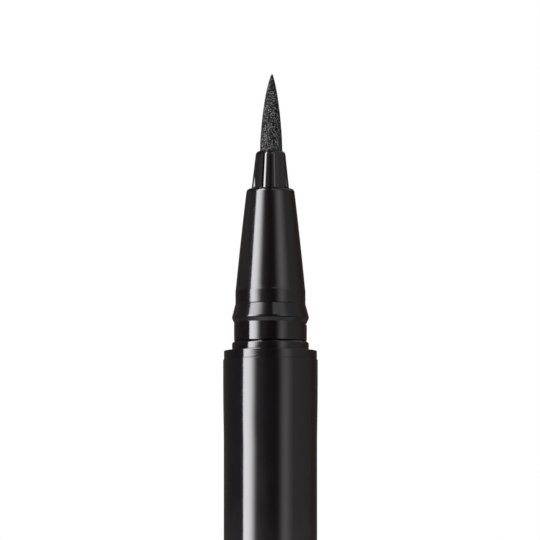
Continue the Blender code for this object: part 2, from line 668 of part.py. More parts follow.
def main():
    clear_scene()
    parts = new_collection("lash_adhesive_pen")
    tools = new_collection("cutters")
    black = new_material("black_plastic", (0.006, 0.006, 0.007), 0.16)
    felt = new_material("black_felt", (0.020, 0.019, 0.020), 0.85)
    rubber = new_material("seal_rubber", (0.025, 0.025, 0.025), 0.6)
    natural = new_material("natural_plastic", (0.72, 0.72, 0.68), 0.4)
    fibre = new_material("core_fibre", (0.62, 0.58, 0.50), 0.9)
    steel = new_material("ball_steel", (0.56, 0.56, 0.57), 0.22, 1.0)

    # The pen's own pieces ride on one empty, and the cap's on another, both on the pen's axis
    cap = new_object("cap", None, parts)
    pen = new_object("pen", None, parts)
    made = [
        (make_cap_shell(parts, tools), 0.0, cap, black),
        (make_inner_cap(parts), CAP_END_WALL + SEAT_GAP, cap, natural),
        (make_tail_plug(parts), BARREL_FOOT, pen, black),
        (make_seal("tail_seal", parts), BARREL_FOOT + SEAL_SHOULDER, pen, rubber),
        (make_barrel(parts), BARREL_FOOT, pen, black),
        (make_mixing_ball(parts), BALL_LEVEL, pen, steel),
        (make_nose_section(parts), FLANGE_LEVEL, pen, black),
        (make_seal("section_seal", parts), FLANGE_LEVEL - FLANGE_HEIGHT - SEAL_SHOULDER, pen, rubber),
        (make_collector(parts, tools), FLANGE_LEVEL + COLLECTOR_SEAT, pen, natural),
        (make_feed_core(parts), FLANGE_LEVEL + CORE_FOOT, pen, fibre),
        (make_tip_holder(parts, tools), FLANGE_LEVEL + HOLDER_FOOT, pen, black),
        (make_brush_tip(parts), FLANGE_LEVEL + HOLDER_TOP, pen, felt),
    ]
    for obj, height, parent, material in made:
        shade(obj)
        place(obj, height, parent, material)


main()
print(
    "cap length", round(CAP_LENGTH / MM, 2), "flange level", round(FLANGE_LEVEL / MM, 2),
    "tip", round((FLANGE_LEVEL + TIP_TOP) / MM, 2), "ball travel", round(BALL_TRAVEL / MM, 2),
)
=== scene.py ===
# Looks of the lash adhesive pen: finer turned pieces, their finishes and the studio round the
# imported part. Sizes are in millimetres unless a heading says otherwise, and every mesh is in
# metres, +Z up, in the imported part's own frame.
# A turned outline is a list of (radius, height), with a third number where a corner is rounded.

import math

import bmesh
import bpy
from mathutils import Matrix, Vector, noise


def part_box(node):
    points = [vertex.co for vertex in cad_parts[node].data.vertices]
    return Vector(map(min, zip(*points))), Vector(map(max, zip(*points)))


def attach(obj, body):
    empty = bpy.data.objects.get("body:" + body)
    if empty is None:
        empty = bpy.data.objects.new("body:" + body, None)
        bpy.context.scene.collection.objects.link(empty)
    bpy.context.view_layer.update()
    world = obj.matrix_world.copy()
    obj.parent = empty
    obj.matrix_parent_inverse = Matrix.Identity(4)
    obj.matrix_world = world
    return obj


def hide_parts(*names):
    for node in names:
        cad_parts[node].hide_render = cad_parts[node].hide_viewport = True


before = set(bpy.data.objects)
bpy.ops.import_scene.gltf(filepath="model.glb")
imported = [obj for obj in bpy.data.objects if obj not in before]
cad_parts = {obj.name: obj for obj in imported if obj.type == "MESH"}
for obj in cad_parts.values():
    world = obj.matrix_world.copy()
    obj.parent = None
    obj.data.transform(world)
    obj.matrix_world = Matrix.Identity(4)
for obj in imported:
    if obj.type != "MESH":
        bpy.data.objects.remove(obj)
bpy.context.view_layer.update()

MM = 0.001

# Fits and radii that several pieces share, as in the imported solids
PRESS_FIT = 0.03
SEAT_GAP = 0.03
BARREL_RADIUS = 5.18
TANK_RADIUS = 4.05
SOCKET_RADIUS = 4.18
PLUG_RADIUS = 4.15
GROOVE_FLOOR = 3.42
FLANGE_RADIUS = 5.165
RING_RADIUS = 4.268
CAP_BORE = 4.3

# Radii of rounded edges, from the crispest to the broadest
CRISP_EDGE = 0.02
THIN_EDGE = 0.03
FINE_EDGE = 0.04
SMALL_EDGE = 0.05
SOFT_EDGE = 0.1
ROUND_EDGE = 0.2
BROAD_EDGE = 0.3

# Barrel
SOCKET_STEP = 0.13
MOUTH_SWELL = 0.076
MOUTH_FADE = 1.8
MOUTH_RINGS = 16
SWELL_LENGTH = 9.45
MOUTH_RISE = 0.018

# Nose section, from the flange's upper face
FLANGE_HEIGHT = 1.0
FLANGE_DROP = 0.02
FLANGE_FILLET = 0.06
PLUG_LENGTH = 9.0
PLUG_FOOT_FILLET = 0.35
SEAL_SHOULDER = 2.2
SEAL_GROOVE = 0.86
RING_HEIGHT = 0.82
RING_LIP = 0.98
RING_LIP_SPREAD = 0.02
RING_WAIST = 0.03
RING_WAIST_TOP = 0.6
NECK_FOOT = 1.1
NECK_CREASE = 0.1
NECK_WAIST = 0.012
NECK_WAIST_TOP = 2.2
NECK_NOTCH = (2.78, 2.94, 3.08)
NECK_NOTCH_DEPTH = 0.11
NECK_NOTCH_SPREAD = math.radians(32)
NECK_SKIN_SHARE = 0.95
BEAD_FOOT = 3.11
BEAD_LOW = 3.63
BEAD_BEVEL = (0.02, 0.1)
BEAD_HIGH = 3.78
BEAD_FILLET = 0.12
FLARE_TOP = 5.18
BAND_TOP = 6.78
BAND_EDGE = 0.12
NOSE_LENGTH = 18.08
NECK_RADIUS = 4.047
BEAD_RADIUS = 4.263
BAND_RADIUS = 3.89
CONE_RADIUS = 3.848
NOSE_FRONT_RADIUS = 2.635
NOSE_FRONT_FILLET = 0.44
NOSE_FRONT_DROP = 0.05
CONE_SLOPE = (CONE_RADIUS - NOSE_FRONT_RADIUS) / (NOSE_LENGTH - BAND_TOP)
CONE_FOOT_SPREAD = 0.015
CONE_BULGE = 0.032
CONE_RINGS = 10
CREASE_DEPTH = 0.035
CREASE_HEIGHT = 0.09
CHAMBER_RADIUS = 2.62
FRONT_BORE = 1.92
HOLDER_SEAT = 6.5
CHAMBER_TAPER = 2.5

# Tip holder, from its shoulder
HOLDER_STEM = 7.23
HOLDER_STEM_RADIUS = 1.89
HOLDER_BASE_RADIUS = 2.1
HOLDER_MOUTH_RADIUS = 1.62
HOLDER_HEIGHT = 4.14
HOLDER_SLOPE = (HOLDER_BASE_RADIUS - HOLDER_MOUTH_RADIUS) / HOLDER_HEIGHT
HOLDER_BORE = 1.25
HOLDER_BORE_MARGIN = 0.01
HOLDER_CROWN = 0.4
HOLDER_LEAD_IN = 0.08
HOLDER_SKIRT = 0.05
HOLDER_LEAN = 0.028
FLUTE_COUNT = 3
FLUTE_DEPTH = 0.22
FLUTE_WIDTH = 0.44
FLUTE_TURN = math.radians(-30)
VENT_GROOVE = 0.12
VENT_HEIGHT = 1.4
VENT_LEAN = 0.15
VENT_SIDES = (0.27, 0.13)
VENT_DEPTH = 0.2

# The holder's cone isn't quite round: its skin turns ahead of its direction by these degrees,
# given by direction from the front, so that it reads as soft flats between rounded corners
LEFT_TURN = (
    (1.5, 0), (3.5, 6.5), (12, -1), (16.5, -3.2), (17.9, 10), (22, 11.5), (23.5, 11.3), (27, 9.4),
    (29, 9), (60, -20), (64, -6), (70, 0),
)
RIGHT_TURN = (
    (1.5, 0), (3.5, 5.5), (11.5, -2.5), (12.8, 4.7), (15.2, 6.3), (17, 19), (22, 14), (27, 3),
    (31, 6), (36, 2), (60, -20), (64, -6), (70, 0),
)

# Felt tip, from the holder's mouth
TIP_RADIUS = 1.22
TIP_SWELL = 0.03
TIP_LENGTH = 8.6
TIP_POINT = 0.085
TIP_CURVE = ((0.7, 0.757), (1.0, 0.203))
TIP_OFFSET = 0.075
TIP_LEAN = 0.05
TIP_HOOK = 0.05
TIP_HOOK_FADE = 6
TIP_STEM = 13.17
CORE_BORE = 0.9
CORE_IN_TIP = 2.0
GRAIN_SIZE = 0.09
GRAIN_HEIGHT = 0.012
GRAIN_FULL_RADIUS = 0.3
GRAIN_FULL_HEIGHT = 0.15
LUMP_SIZE = 0.45
LUMP_HEIGHT = 0.004

# Tail plug, from the barrel's lower end
TAIL_FLANGE = 0.8
TAIL_FLANGE_FILLET = 0.07
TAIL_RING = 0.8
TAIL_PLUG_LENGTH = 7.5
TAIL_LEAD_IN = (0.175, 0.35)
TAIL_BOSS = 8.0
BOSS_RADIUS = 4.1
BOSS_CHAMFER = 0.4
BOSS_BORE = 3.1
TAIL_RECESS = 2.62
TAIL_DISH = 0.4
TAIL_RIM = 0.5
TAIL_END_WALL = 1.2

# Cap and inner cap, from the cap's closed end
CAP_END_WALL = 1.6
CAP_END_FILLET = 0.6
CAP_MOUTH_CHAMFER = 0.12
DEEP_BORE = 4.2
SNAP_RIB_RADIUS = 4.15
SNAP_RIB_START = 1.5
SNAP_RIB_SLOPE = 0.35
SNAP_RIB_LENGTH = 0.7
SNAP_ZONE = 6.0
SNAP_ZONE_TAPER = 0.1
CAP_RIB_COUNT = 6
CAP_RIB_TURN = 0.5 / 40
CAP_RIB_WIDTH = 0.8
CAP_RIB_ABOVE = 3.1
CAP_RIB_LEAD_IN = 0.8
CAP_RIB_ROOT = 0.44
INNER_CAP_OVERLAP = 2.4
INNER_CAP_SEAT = NOSE_FRONT_RADIUS + INNER_CAP_OVERLAP * CONE_SLOPE + PRESS_FIT
INNER_CAP_LIP = 0.47
INNER_CAP_RADIUS = INNER_CAP_SEAT + INNER_CAP_LIP
INNER_CAP_LIP_FILLETS = (0.08, 0.12)
INNER_CAP_FLOOR = 0.8
INNER_CAP_STEP = 0.2
INNER_CAP_SHOULDER = 0.25
INNER_CAP_FILLET = 0.4
GATE_MARK_RADIUS = 0.9
GATE_MARK_DEPTH = 0.12

# Meshing. A rounding takes up ARC_REACH of the shorter run beside it at most, and a run longer
# than HELD_RUN gets a ring at HOLD from each end.
SEGMENTS = 160
INNER_SEGMENTS = 96
HOLDER_SEGMENTS = 240
TIP_SEGMENTS = 120
TIP_RINGS = 150
CROWN_STEPS = 8
FLAT_STEP = 0.5
ARC_TURN = math.radians(12)
ARC_REACH = 0.6
HOLD = 0.03
HELD_RUN = 4 * HOLD
HEIGHT_SLACK = 1e-3
ON_AXIS = 1e-6
SHARP_ANGLE = math.radians(28)
OVERCUT = 0.5

# Heights above the table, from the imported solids
CAP_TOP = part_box("cap_shell")[1].z / MM
BARREL_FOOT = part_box("barrel")[0].z / MM
BARREL_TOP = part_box("barrel")[1].z / MM
FLANGE_LEVEL = BARREL_TOP + SEAT_GAP + FLANGE_HEIGHT
HOLDER_LEVEL = FLANGE_LEVEL + NOSE_LENGTH + SEAT_GAP
MOUTH_LEVEL = HOLDER_LEVEL + HOLDER_HEIGHT
INNER_CAP_MOUTH = CAP_TOP - NOSE_LENGTH + INNER_CAP_OVERLAP
STUDIO_LEVEL = FLANGE_LEVEL + 8.0

# Marks on the black plastics, with their sizes across and along the pen. The barrel's tone grows
# paler towards its foot, between two distances below the flange.
FILM_SIZE = (2.4, 2.4, 5.0)
SMUDGE_SIZE = (1.3, 1.3, 2.6)
RIPPLE_SIZE = (1.8, 1.8, 3.0)
TURNING_SIZE = (2.5, 2.5, 0.07)
SCUFF_SIZE = (2.2, 2.2, 0.1)
SCUFF_BLEND = 0.05
SCUFFS_ABOVE_BAND = 0.2
TONE_PLACES = (0.3, 0.7, 1.0)
DUST_SIZE = 0.55
DUST_LEVELS = ((0.0, 0.05), (0.035, 0.012), (0.06, 0.0))
DUST_SHARE = 0.35
POLISH_BLEND = 0.1
POLISHED_ROUGHNESS = 0.62
PALER_LOW_FULL = 22
PALER_LOW_START = 4
PALER_LOW_AMOUNT = 0.45

# Felt: sizes of its cells, specks and clumps, and how much each adds to its tone, whose palest part
# is painted glint
FIBRE_SIZE = 0.165
FIBRE_WEIGHT = 1.3
FIBRE_VALUE_WEIGHT = 0.12
SPECK_SIZE = (0.09, 0.09, 0.11)
SPECK_WEIGHT = 0.9
CLUMP_SIZE = (0.5, 0.5, 0.7)
CLUMP_WEIGHT = 0.02
POINT_SHADE_START = 4.5
POINT_SHADE = 0.05

# The part of a noise's values that is spread over a range
NOISE_LOW = 0.3
NOISE_HIGH = 0.7

# Places of a mix node's colour sockets: two inputs and the output
MIX_FIRST = 6
MIX_SECOND = 7
MIX_RESULT = 2

# Studio, in metres and degrees, round a point on the pen's axis inside the nose
STUDIO_CENTRE = STUDIO_LEVEL * MM
FLOOR_CLEARANCE = 0.004
FLAG_DISTANCE = 0.62
CARD_DISTANCE = 0.58
NADIR = -80
ZENITH = 88
CARD_HEAD = 66
FLAG_FOOT = -math.degrees(math.asin((STUDIO_CENTRE - FLOOR_CLEARANCE) / FLAG_DISTANCE))
CARD_FOOT = -math.degrees(math.asin((STUDIO_CENTRE - FLOOR_CLEARANCE) / CARD_DISTANCE))
CARD_SPLIT = 23
WALL_FOOT = 8
WALL_HEAD = 52
FAR_RIGHT_FOOT = 24
CARD_COLUMNS = 48
CARD_ROWS = 96
AMBIENT = 0.29
FLOOR_RADIUS = 14.0
FLOOR_SEGMENTS = 96
FLOOR_FADE = (0.45, 1.6)

# Level of the flags by direction from the camera, in degrees to the right
FLAG_LEVELS = (
    (-180, (0.06, 0.05, 0.045)),
    (-150, (0.115, 0.095, 0.088)),
    (-125, (0.095, 0.083, 0.085)),
    (-80, (0.085, 0.08, 0.09)),
    (-30, (0.27, 0.26, 0.28)),
    (-12, (0.11, 0.105, 0.11)),
    (-4, (0.065, 0.062, 0.066)),
    (12, (0.055, 0.052, 0.056)),
    (60, (0.40, 0.39, 0.40)),
    (100, (0.26, 0.235, 0.23)),
    (125, (0.11, 0.088, 0.08)),
    (180, (0.06, 0.05, 0.045)),
)

# Levels across each card from its left side, and along it from its foot, as shares of its size
EVEN = ((0.0, 1.0), (1.0, 1.0))
FLAGS_ALONG = ((0.0, 1.0), (0.75, 1.0), (0.8, 0.35), (1.0, 0.2))
FLOOR_FLAG_ACROSS = (
    (0.0, 0.5), (0.186, 0.8), (0.34, 0.78), (0.38, 0.85), (0.44, 0.6), (0.5, 0.36),
    (0.615, 0.39), (0.715, 0.67), (0.775, 0.94), (1.0, 0.5),
)
FLOOR_FLAG_ALONG = ((0.0, 0.6), (0.2, 1.0), (0.5, 1.0), (0.72, 0.15), (1.0, 0.15))
SOFTBOX_ACROSS = (
    (0.0, (0.98, 0.97, 1.0)),
    (0.3, (0.98, 0.97, 1.0)),
    (0.45, (0.88, 0.865, 0.885)),
    (0.58, (0.65, 0.635, 0.65)),
    (0.7, 0.34),
    (0.82, 0.095),
    (0.93, 0.03),
    (1.0, 0.02),
)
SOFTBOX_ALONG = ((0.0, 0.655), (0.41, 0.655), (0.54, 0.49), (0.64, 0.49), (0.76, 1.0), (1.0, 1.0))
WALL_ACROSS = (
    (0.0, 0.12), (0.4, 0.18), (0.82, 0.17), (0.85, 0.22), (0.87, 0.33), (0.88, 0.37),
    (0.89, 0.01), (1.0, 0.01),
)
WALL_ALONG = ((0.0, 0.45), (0.05, 0.65), (0.1, 1.05), (0.14, 1.0), (0.22, 0.5), (1.0, 0.5))
RIGHT_ACROSS = (
    (0.0, 0.03), (0.12, 0.14), (0.25, 0.44), (0.42, 0.9), (0.54, 1.0), (0.66, 0.85),
    (0.8, 0.6), (1.0, 0.36),
)
RIGHT_ALONG = (
    (0.0, (0.8, 0.77, 0.79)), (0.38, (0.79, 0.76, 0.78)), (0.46, (0.71, 0.685, 0.7)),
    (0.5, (0.71, 0.685, 0.7)), (0.8, (1.0, 0.965, 0.985)), (1.0, (1.0, 0.965, 0.985)),
)
UPPER_RIGHT_ACROSS = (
    (0.0, 0.9), (0.12, 0.95), (0.25, 0.77), (0.6, 0.9), (0.75, 0.78), (0.87, 0.46), (1.0, 0.28),
)
FAR_RIGHT_ACROSS = ((0.0, 0.28), (0.3, 0.45), (1.0, 0.55))

# Sides of each card by elevation, as directions to the camera's right. The softbox leans over the
# pen as it rises, and its head is narrower. The wall ends at the softbox, and is dark beside it.
SOFTBOX_SIDES = (
    (-14, -70.5, -42),
    (-6, -70.5, -37),
    (-2, -70.8, -33),
    (0.2, -70.8, -29.5),
    (2.9, -69.5, -28),
    (3.6, -69.5, -29.1),
    (8, -69.5, -27),
    (13.3, -69.5, -25.8),
    (14.2, -68.4, -25.4),
    (15, -69.5, -24.5),
    (16.3, -69.6, -21),
    (17, -69.6, -21.7),
    (20, -70.4, -20.8),
    (28, -73.2, -16.8),
    (36, -74, -13.2),
    (66, -66, -42),
)
WALL_SIDES = [(elevation, -140, left) for elevation, left, right in SOFTBOX_SIDES]
RIGHT_SIDES = ((-20, 19.52, 47), (30, 8.02, 72))
UPPER_RIGHT_SIDES = ((CARD_SPLIT, 8, 62), (CARD_HEAD, 8, 62))
FAR_RIGHT_SIDES = ((FAR_RIGHT_FOOT, 92, 150), (CARD_HEAD, 92, 150))
ALL_ROUND = ((NADIR, -180, 180), (ZENITH, -180, 180))

# Lamps: name, direction, elevation, distance, size and power in watts
LAMPS = (
    ("key", -66, 32, 1.1, (0.5, 0.7), 7.4),
    ("fill", 60, 25, 1.3, (0.6, 0.6), 0.3),
    ("top", -30, 75, 1.4, (0.9, 0.9), 4.6),
)

# Camera, in metres: it looks up at the nose by a few degrees through a long lens
VIEW_WIDTH = 60.0 * MM
CAMERA_DISTANCE = 1.2
CAMERA_ELEVATION = math.radians(-4.3)
AIM_RIGHT = -0.05 * MM
AIM_ABOVE_FLANGE = 9.0 * MM
SENSOR_WIDTH = 36.0


def arc(before, corner, after, radius):
    """Points of the arc that rounds a corner between two straight runs."""
    corner = Vector(corner)
    u = Vector(before) - corner
    v = Vector(after) - corner
    shortest = min(u.length, v.length)
    u.normalize()
    v.normalize()
    half = u.angle(v) / 2
    tangent = min(radius / math.tan(half), ARC_REACH * shortest)
    radius = tangent * math.tan(half)
    centre = corner + (u + v).normalized() * radius / math.sin(half)
    start = corner + u * tangent - centre
    end = corner + v * tangent - centre
    sweep = math.pi - 2 * half
    steps = max(2, math.ceil(sweep / ARC_TURN))
    points = []
    for step in range(steps + 1):
        share = step / steps
        a = math.sin((1 - share) * sweep) / math.sin(sweep)
        b = math.sin(share * sweep) / math.sin(sweep)
        points.append(tuple(centre + a * start + b * end))
    return points


def outline_points(corners):
    """The outline with its corners rounded, and a ring beside each end of a longer run."""
    rounded = []
    for index, corner in enumerate(corners):
        if len(corner) == 2:
            rounded.append(corner)
        else:
            before = corners[index - 1][:2]
            after = corners[(index + 1) % len(corners)][:2]
            rounded.extend(arc(before, corner[:2], after, corner[2]))
    points = []
    for start, end in zip(rounded, rounded[1:] + rounded[:1]):
        points.append(start)
        run = Vector(end) - Vector(start)
        closing = end == rounded[0] and rounded[0][0] == 0
        if run.length > HELD_RUN and not closing:
            step = run.normalized() * HOLD
            points.append(tuple(Vector(start) + step))
            points.append(tuple(Vector(end) - step))
    return points


def looked_up(table, value):
    """The rows of a table, each a place and what it gives there, interpolated at a value."""
    for (low, *first), (high, *second) in zip(table, table[1:]):
        if value <= high:
            share = max(0.0, (value - low) / (high - low))
            return [a + (b - a) * share for a, b in zip(first, second)]
    return list(table[-1][1:])


def new_object(name, data):
    made = bpy.data.objects.new(name, data)
    bpy.context.scene.collection.objects.link(made)
    return made


def mesh_object(name, built):
    """An object whose mesh is a finished bmesh, which is freed."""
    data = bpy.data.meshes.new(name)
    built.to_mesh(data)
    built.free()
    return new_object(name, data)


def revolve(name, corners, level, segments=SEGMENTS, section=None):
    """A turned closed mesh at a level. section scales its radius by direction and height."""
    points = outline_points(corners)
    mesh = bmesh.new()
    rings = []
    for radius, height in points:
        z = (level + height) * MM
        if radius < ON_AXIS:
            rings.append([mesh.verts.new((0, 0, z))] * segments)
            continue
        ring = []
        for step in range(segments):
            angle = math.tau * step / segments
            scale = section(angle, radius, height) if section else 1.0
            x = radius * scale * math.cos(angle)
            y = radius * scale * math.sin(angle)
            ring.append(mesh.verts.new((x * MM, y * MM, z)))
        rings.append(ring)
    pairs = list(zip(rings, rings[1:]))
    if points[0][0] > 0:
        pairs.append((rings[-1], rings[0]))
    for upper, lower in pairs:
        for step in range(segments):
            after = (step + 1) % segments
            corner_verts = []
            for vert in (upper[step], lower[step], lower[after], upper[after]):
                if vert not in corner_verts:
                    corner_verts.append(vert)
            if len(corner_verts) > 2:
                mesh.faces.new(corner_verts)
    bmesh.ops.recalc_face_normals(mesh, faces=mesh.faces)
    return mesh_object(name, mesh)


def combine(obj, tool_mesh, operation):
    """Adds a bmesh tool to a piece, or cuts it out, and keeps the result as the piece's mesh."""
    bmesh.ops.recalc_face_normals(tool_mesh, faces=tool_mesh.faces)
    tool = mesh_object("tool", tool_mesh)
    modifier = obj.modifiers.new("tool", "BOOLEAN")
    modifier.operation = operation
    modifier.solver = "EXACT"
    modifier.object = tool
    graph = bpy.context.evaluated_depsgraph_get()
    result = bpy.data.meshes.new_from_object(obj.evaluated_get(graph))
    obj.modifiers.clear()
    obj.data = result
    result.name = obj.name
    bpy.data.objects.remove(tool)


def block(mesh, low, high, turn, lowered=0.0):
    """Adds a box, turned about Z. lowered drops its inner upper edge as a lead-in."""
    made = bmesh.ops.create_cube(mesh, size=1.0)["verts"]
    for vert in made:
        inner_top = vert.co.x < 0 and vert.co.z > 0
        vert.co = [(low[k] + (vert.co[k] + 0.5) * (high[k] - low[k])) * MM for k in range(3)]
        if inner_top:
            vert.co.z -= lowered * MM
    bmesh.ops.rotate(mesh, verts=made, cent=(0, 0, 0), matrix=Matrix.Rotation(turn, 3, "Z"))


def give_material(obj, material):
    obj.data.materials.clear()
    obj.data.materials.append(material)


def finish_piece(obj, body, node, material):
    obj.data.shade_smooth()
    obj.data.set_sharp_from_angle(angle=SHARP_ANGLE)
    give_material(obj, material)
    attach(obj, body)
    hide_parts(node)


def seal_groove(middle):
    """Corners of the groove that a rubber seal sits in, from its upper edge down."""
    half = SEAL_GROOVE / 2
    return [
        (PLUG_RADIUS, middle + half, FINE_EDGE),
        (GROOVE_FLOOR, middle + half),
        (GROOVE_FLOOR, middle - half),
        (PLUG_RADIUS, middle - half, FINE_EDGE),
    ]


def make_barrel(material):
    """Outer tube with the slight swelling that the pressed-in plug gives its mouth."""
    length = BARREL_TOP + MOUTH_RISE - BARREL_FOOT
    mouth = []
    for step in range(1, MOUTH_RINGS + 1):
        share = step / MOUTH_RINGS
        spread = (1 + math.cos(math.pi * share**MOUTH_FADE)) / 2
        height = length - THIN_EDGE - share * SWELL_LENGTH
        mouth.append((BARREL_RADIUS + MOUTH_SWELL * spread, height))
    socket = PLUG_LENGTH + SEAT_GAP
    corners = [
        (BARREL_RADIUS + MOUTH_SWELL, length, THIN_EDGE),
        *mouth,
        (BARREL_RADIUS, 0.0, THIN_EDGE),
        (SOCKET_RADIUS, 0.0, THIN_EDGE),
        (SOCKET_RADIUS, TAIL_PLUG_LENGTH + SEAT_GAP),
        (TANK_RADIUS, TAIL_PLUG_LENGTH + SEAT_GAP + SOCKET_STEP),
        (TANK_RADIUS, length - socket - SOCKET_STEP),
        (SOCKET_RADIUS, length - socket),
        (SOCKET_RADIUS, length, THIN_EDGE),
    ]
    barrel = revolve("barrel_tube", corners, BARREL_FOOT)
    finish_piece(barrel, "pen", "barrel", material)


def cone_skin():
    """The nose's cone from its front to the band, with its slight bulge."""
    points = []
    for step in range(1, CONE_RINGS):
        share = step / CONE_RINGS
        spread = CONE_FOOT_SPREAD * share + CONE_BULGE * 4 * share * (1 - share)
        height = NOSE_LENGTH + (BAND_TOP - NOSE_LENGTH) * share
        radius = NOSE_FRONT_RADIUS + (NOSE_LENGTH - height) * CONE_SLOPE
        points.append((radius + spread, height))
    return points


def waist(radius, depth, top, foot, shares):
    """A run that narrows by a depth on its way down, given at shares of its length."""
    return [(radius - depth * share**2, top - (top - foot) * share) for share in shares]


def notch_neck(nose):
    """Presses the small notch under the bead into the right side of the neck."""
    for vert in nose.data.vertices:
        height = vert.co.z / MM - FLANGE_LEVEL
        outward = Vector((vert.co.x, vert.co.y, 0.0))
        turn = abs(math.atan2(vert.co.y, vert.co.x)) / NECK_NOTCH_SPREAD
        at_notch = abs(height - NECK_NOTCH[1]) < HOLD + HEIGHT_SLACK
        if at_notch and turn < 1 and outward.length > PLUG_RADIUS * NECK_SKIN_SHARE * MM:
            depth = NECK_NOTCH_DEPTH * math.cos(turn * math.pi / 2) ** 2
            vert.co -= outward.normalized() * depth * MM


def make_nose(material):
    """Cone, band, flare, snap bead, neck, locating ring, flange and plug in one moulding."""
    crease = CREASE_HEIGHT / 2
    plug_foot = -FLANGE_HEIGHT - PLUG_LENGTH
    front_bore_foot = NOSE_LENGTH - HOLDER_SEAT
    corners = [
        (NOSE_FRONT_RADIUS, NOSE_LENGTH - NOSE_FRONT_DROP, NOSE_FRONT_FILLET),
        *cone_skin(),
        (CONE_RADIUS + CONE_FOOT_SPREAD, BAND_TOP, BROAD_EDGE),
        (BAND_RADIUS, BAND_TOP - BAND_EDGE, BROAD_EDGE),
        (BAND_RADIUS, FLARE_TOP + crease, CRISP_EDGE),
        (BAND_RADIUS - CREASE_DEPTH, FLARE_TOP),
        (BAND_RADIUS + CREASE_DEPTH / 2, FLARE_TOP - crease, THIN_EDGE),
        (BEAD_RADIUS, BEAD_HIGH, BEAD_FILLET),
        (BEAD_RADIUS, BEAD_LOW, FINE_EDGE),
        (BEAD_RADIUS - BEAD_BEVEL[0], BEAD_LOW - BEAD_BEVEL[1], FINE_EDGE),
        (NECK_RADIUS, BEAD_FOOT, CRISP_EDGE),
        *((NECK_RADIUS, height) for height in reversed(NECK_NOTCH)),
        *waist(NECK_RADIUS, NECK_WAIST, NECK_WAIST_TOP, NECK_FOOT, (0.0, 0.25, 0.5, 0.75, 1.0)),
        (NECK_RADIUS - NECK_CREASE, (NECK_FOOT + RING_LIP) / 2),
        (NECK_RADIUS + RING_LIP_SPREAD, RING_LIP),
        (RING_RADIUS, RING_HEIGHT, SOFT_EDGE),
        *waist(RING_RADIUS, RING_WAIST, RING_WAIST_TOP, 0.0, (0.0, 0.33, 0.67, 1.0)),
        (FLANGE_RADIUS, -FLANGE_DROP, FLANGE_FILLET),
        (FLANGE_RADIUS, -FLANGE_HEIGHT, CRISP_EDGE),
        (PLUG_RADIUS, -FLANGE_HEIGHT),
        *seal_groove(-FLANGE_HEIGHT - SEAL_SHOULDER),
        (PLUG_RADIUS, plug_foot, PLUG_FOOT_FILLET),
        (CHAMBER_RADIUS, plug_foot),
        (CHAMBER_RADIUS, front_bore_foot - CHAMBER_TAPER),
        (FRONT_BORE, front_bore_foot),
        (FRONT_BORE, NOSE_LENGTH, FINE_EDGE),
    ]
    nose = revolve("nose_moulding", corners, FLANGE_LEVEL)
    notch_neck(nose)
    finish_piece(nose, "pen", "nose_section", material)


def flat_scales(turns):
    """Radius of one side of the holder's skin, by FLAT_STEP degrees from front to back."""
    scales = [1.0]
    for step in range(int(180 / FLAT_STEP)):
        direction = (step + 0.5) * FLAT_STEP
        if direction < 90:
            turn = looked_up(turns, direction)[0]
        else:
            turn = -looked_up(turns, 180 - direction)[0]
        growth = -math.tan(math.radians(turn)) * math.radians(FLAT_STEP)
        scales.append(scales[-1] * math.exp(growth))
    return scales


FLAT_SCALES = (flat_scales(LEFT_TURN), flat_scales(RIGHT_TURN))
LARGEST_SCALE = max(max(scales) for scales in FLAT_SCALES)


def holder_section(angle, radius, height):
    """Share of the radius that the holder's skin keeps. Its bore, stem and skirt stay round."""
    if height < 0 or radius < HOLDER_BORE + HOLDER_LEAD_IN + HOLDER_BORE_MARGIN:
        return 1.0
    direction = math.degrees(angle + math.pi / 2) % 360
    scales = FLAT_SCALES[1 if direction < 180 else 0]
    place = min(direction, 360 - direction) / FLAT_STEP
    low = int(place)
    high = min(low + 1, len(scales) - 1)
    return (scales[low] + (scales[high] - scales[low]) * (place - low)) / LARGEST_SCALE


def vent_notch(mesh, level, turn):
    """Adds a V-shaped wedge, wider towards the back, from under the holder's foot up the cone."""
    foot = HOLDER_BASE_RADIUS - VENT_DEPTH
    head = HOLDER_BASE_RADIUS - VENT_HEIGHT * HOLDER_SLOPE
    back = -1 if math.cos(turn) < 0 else 1
    ends = (
        (foot, -HOLDER_SKIRT - SEAT_GAP / 2, 0.0),
        (head, VENT_HEIGHT, back * VENT_LEAN),
    )
    points = []
    for inner, height, lean in ends:
        outer = inner + VENT_DEPTH + OVERCUT
        wide, narrow = ((outer - inner) * back * side / VENT_DEPTH for side in VENT_SIDES)
        points.append((inner, lean, height))
        points.append((outer, lean + wide, height))
        points.append((outer, lean - narrow, height))
    made = [mesh.verts.new((x * MM, y * MM, (level + z) * MM)) for x, y, z in points]
    bmesh.ops.convex_hull(mesh, input=made)
    bmesh.ops.rotate(mesh, verts=made, cent=(0, 0, 0), matrix=Matrix.Rotation(turn, 3, "Z"))


def holder_crown():
    """The round crown of the holder's cone, from its mouth out and down."""
    middle = HOLDER_MOUTH_RADIUS - HOLDER_CROWN
    full_turn = math.acos((HOLDER_BORE + HOLDER_LEAD_IN - middle) / HOLDER_CROWN)
    points = []
    for step in range(CROWN_STEPS + 1):
        turn = full_turn * (1 - step / CROWN_STEPS)
        rise = HOLDER_HEIGHT - HOLDER_CROWN + HOLDER_CROWN * math.sin(turn)
        spread = (HOLDER_HEIGHT - rise) * HOLDER_SLOPE
        points.append((middle + HOLDER_CROWN * math.cos(turn) + spread, rise))
    return points


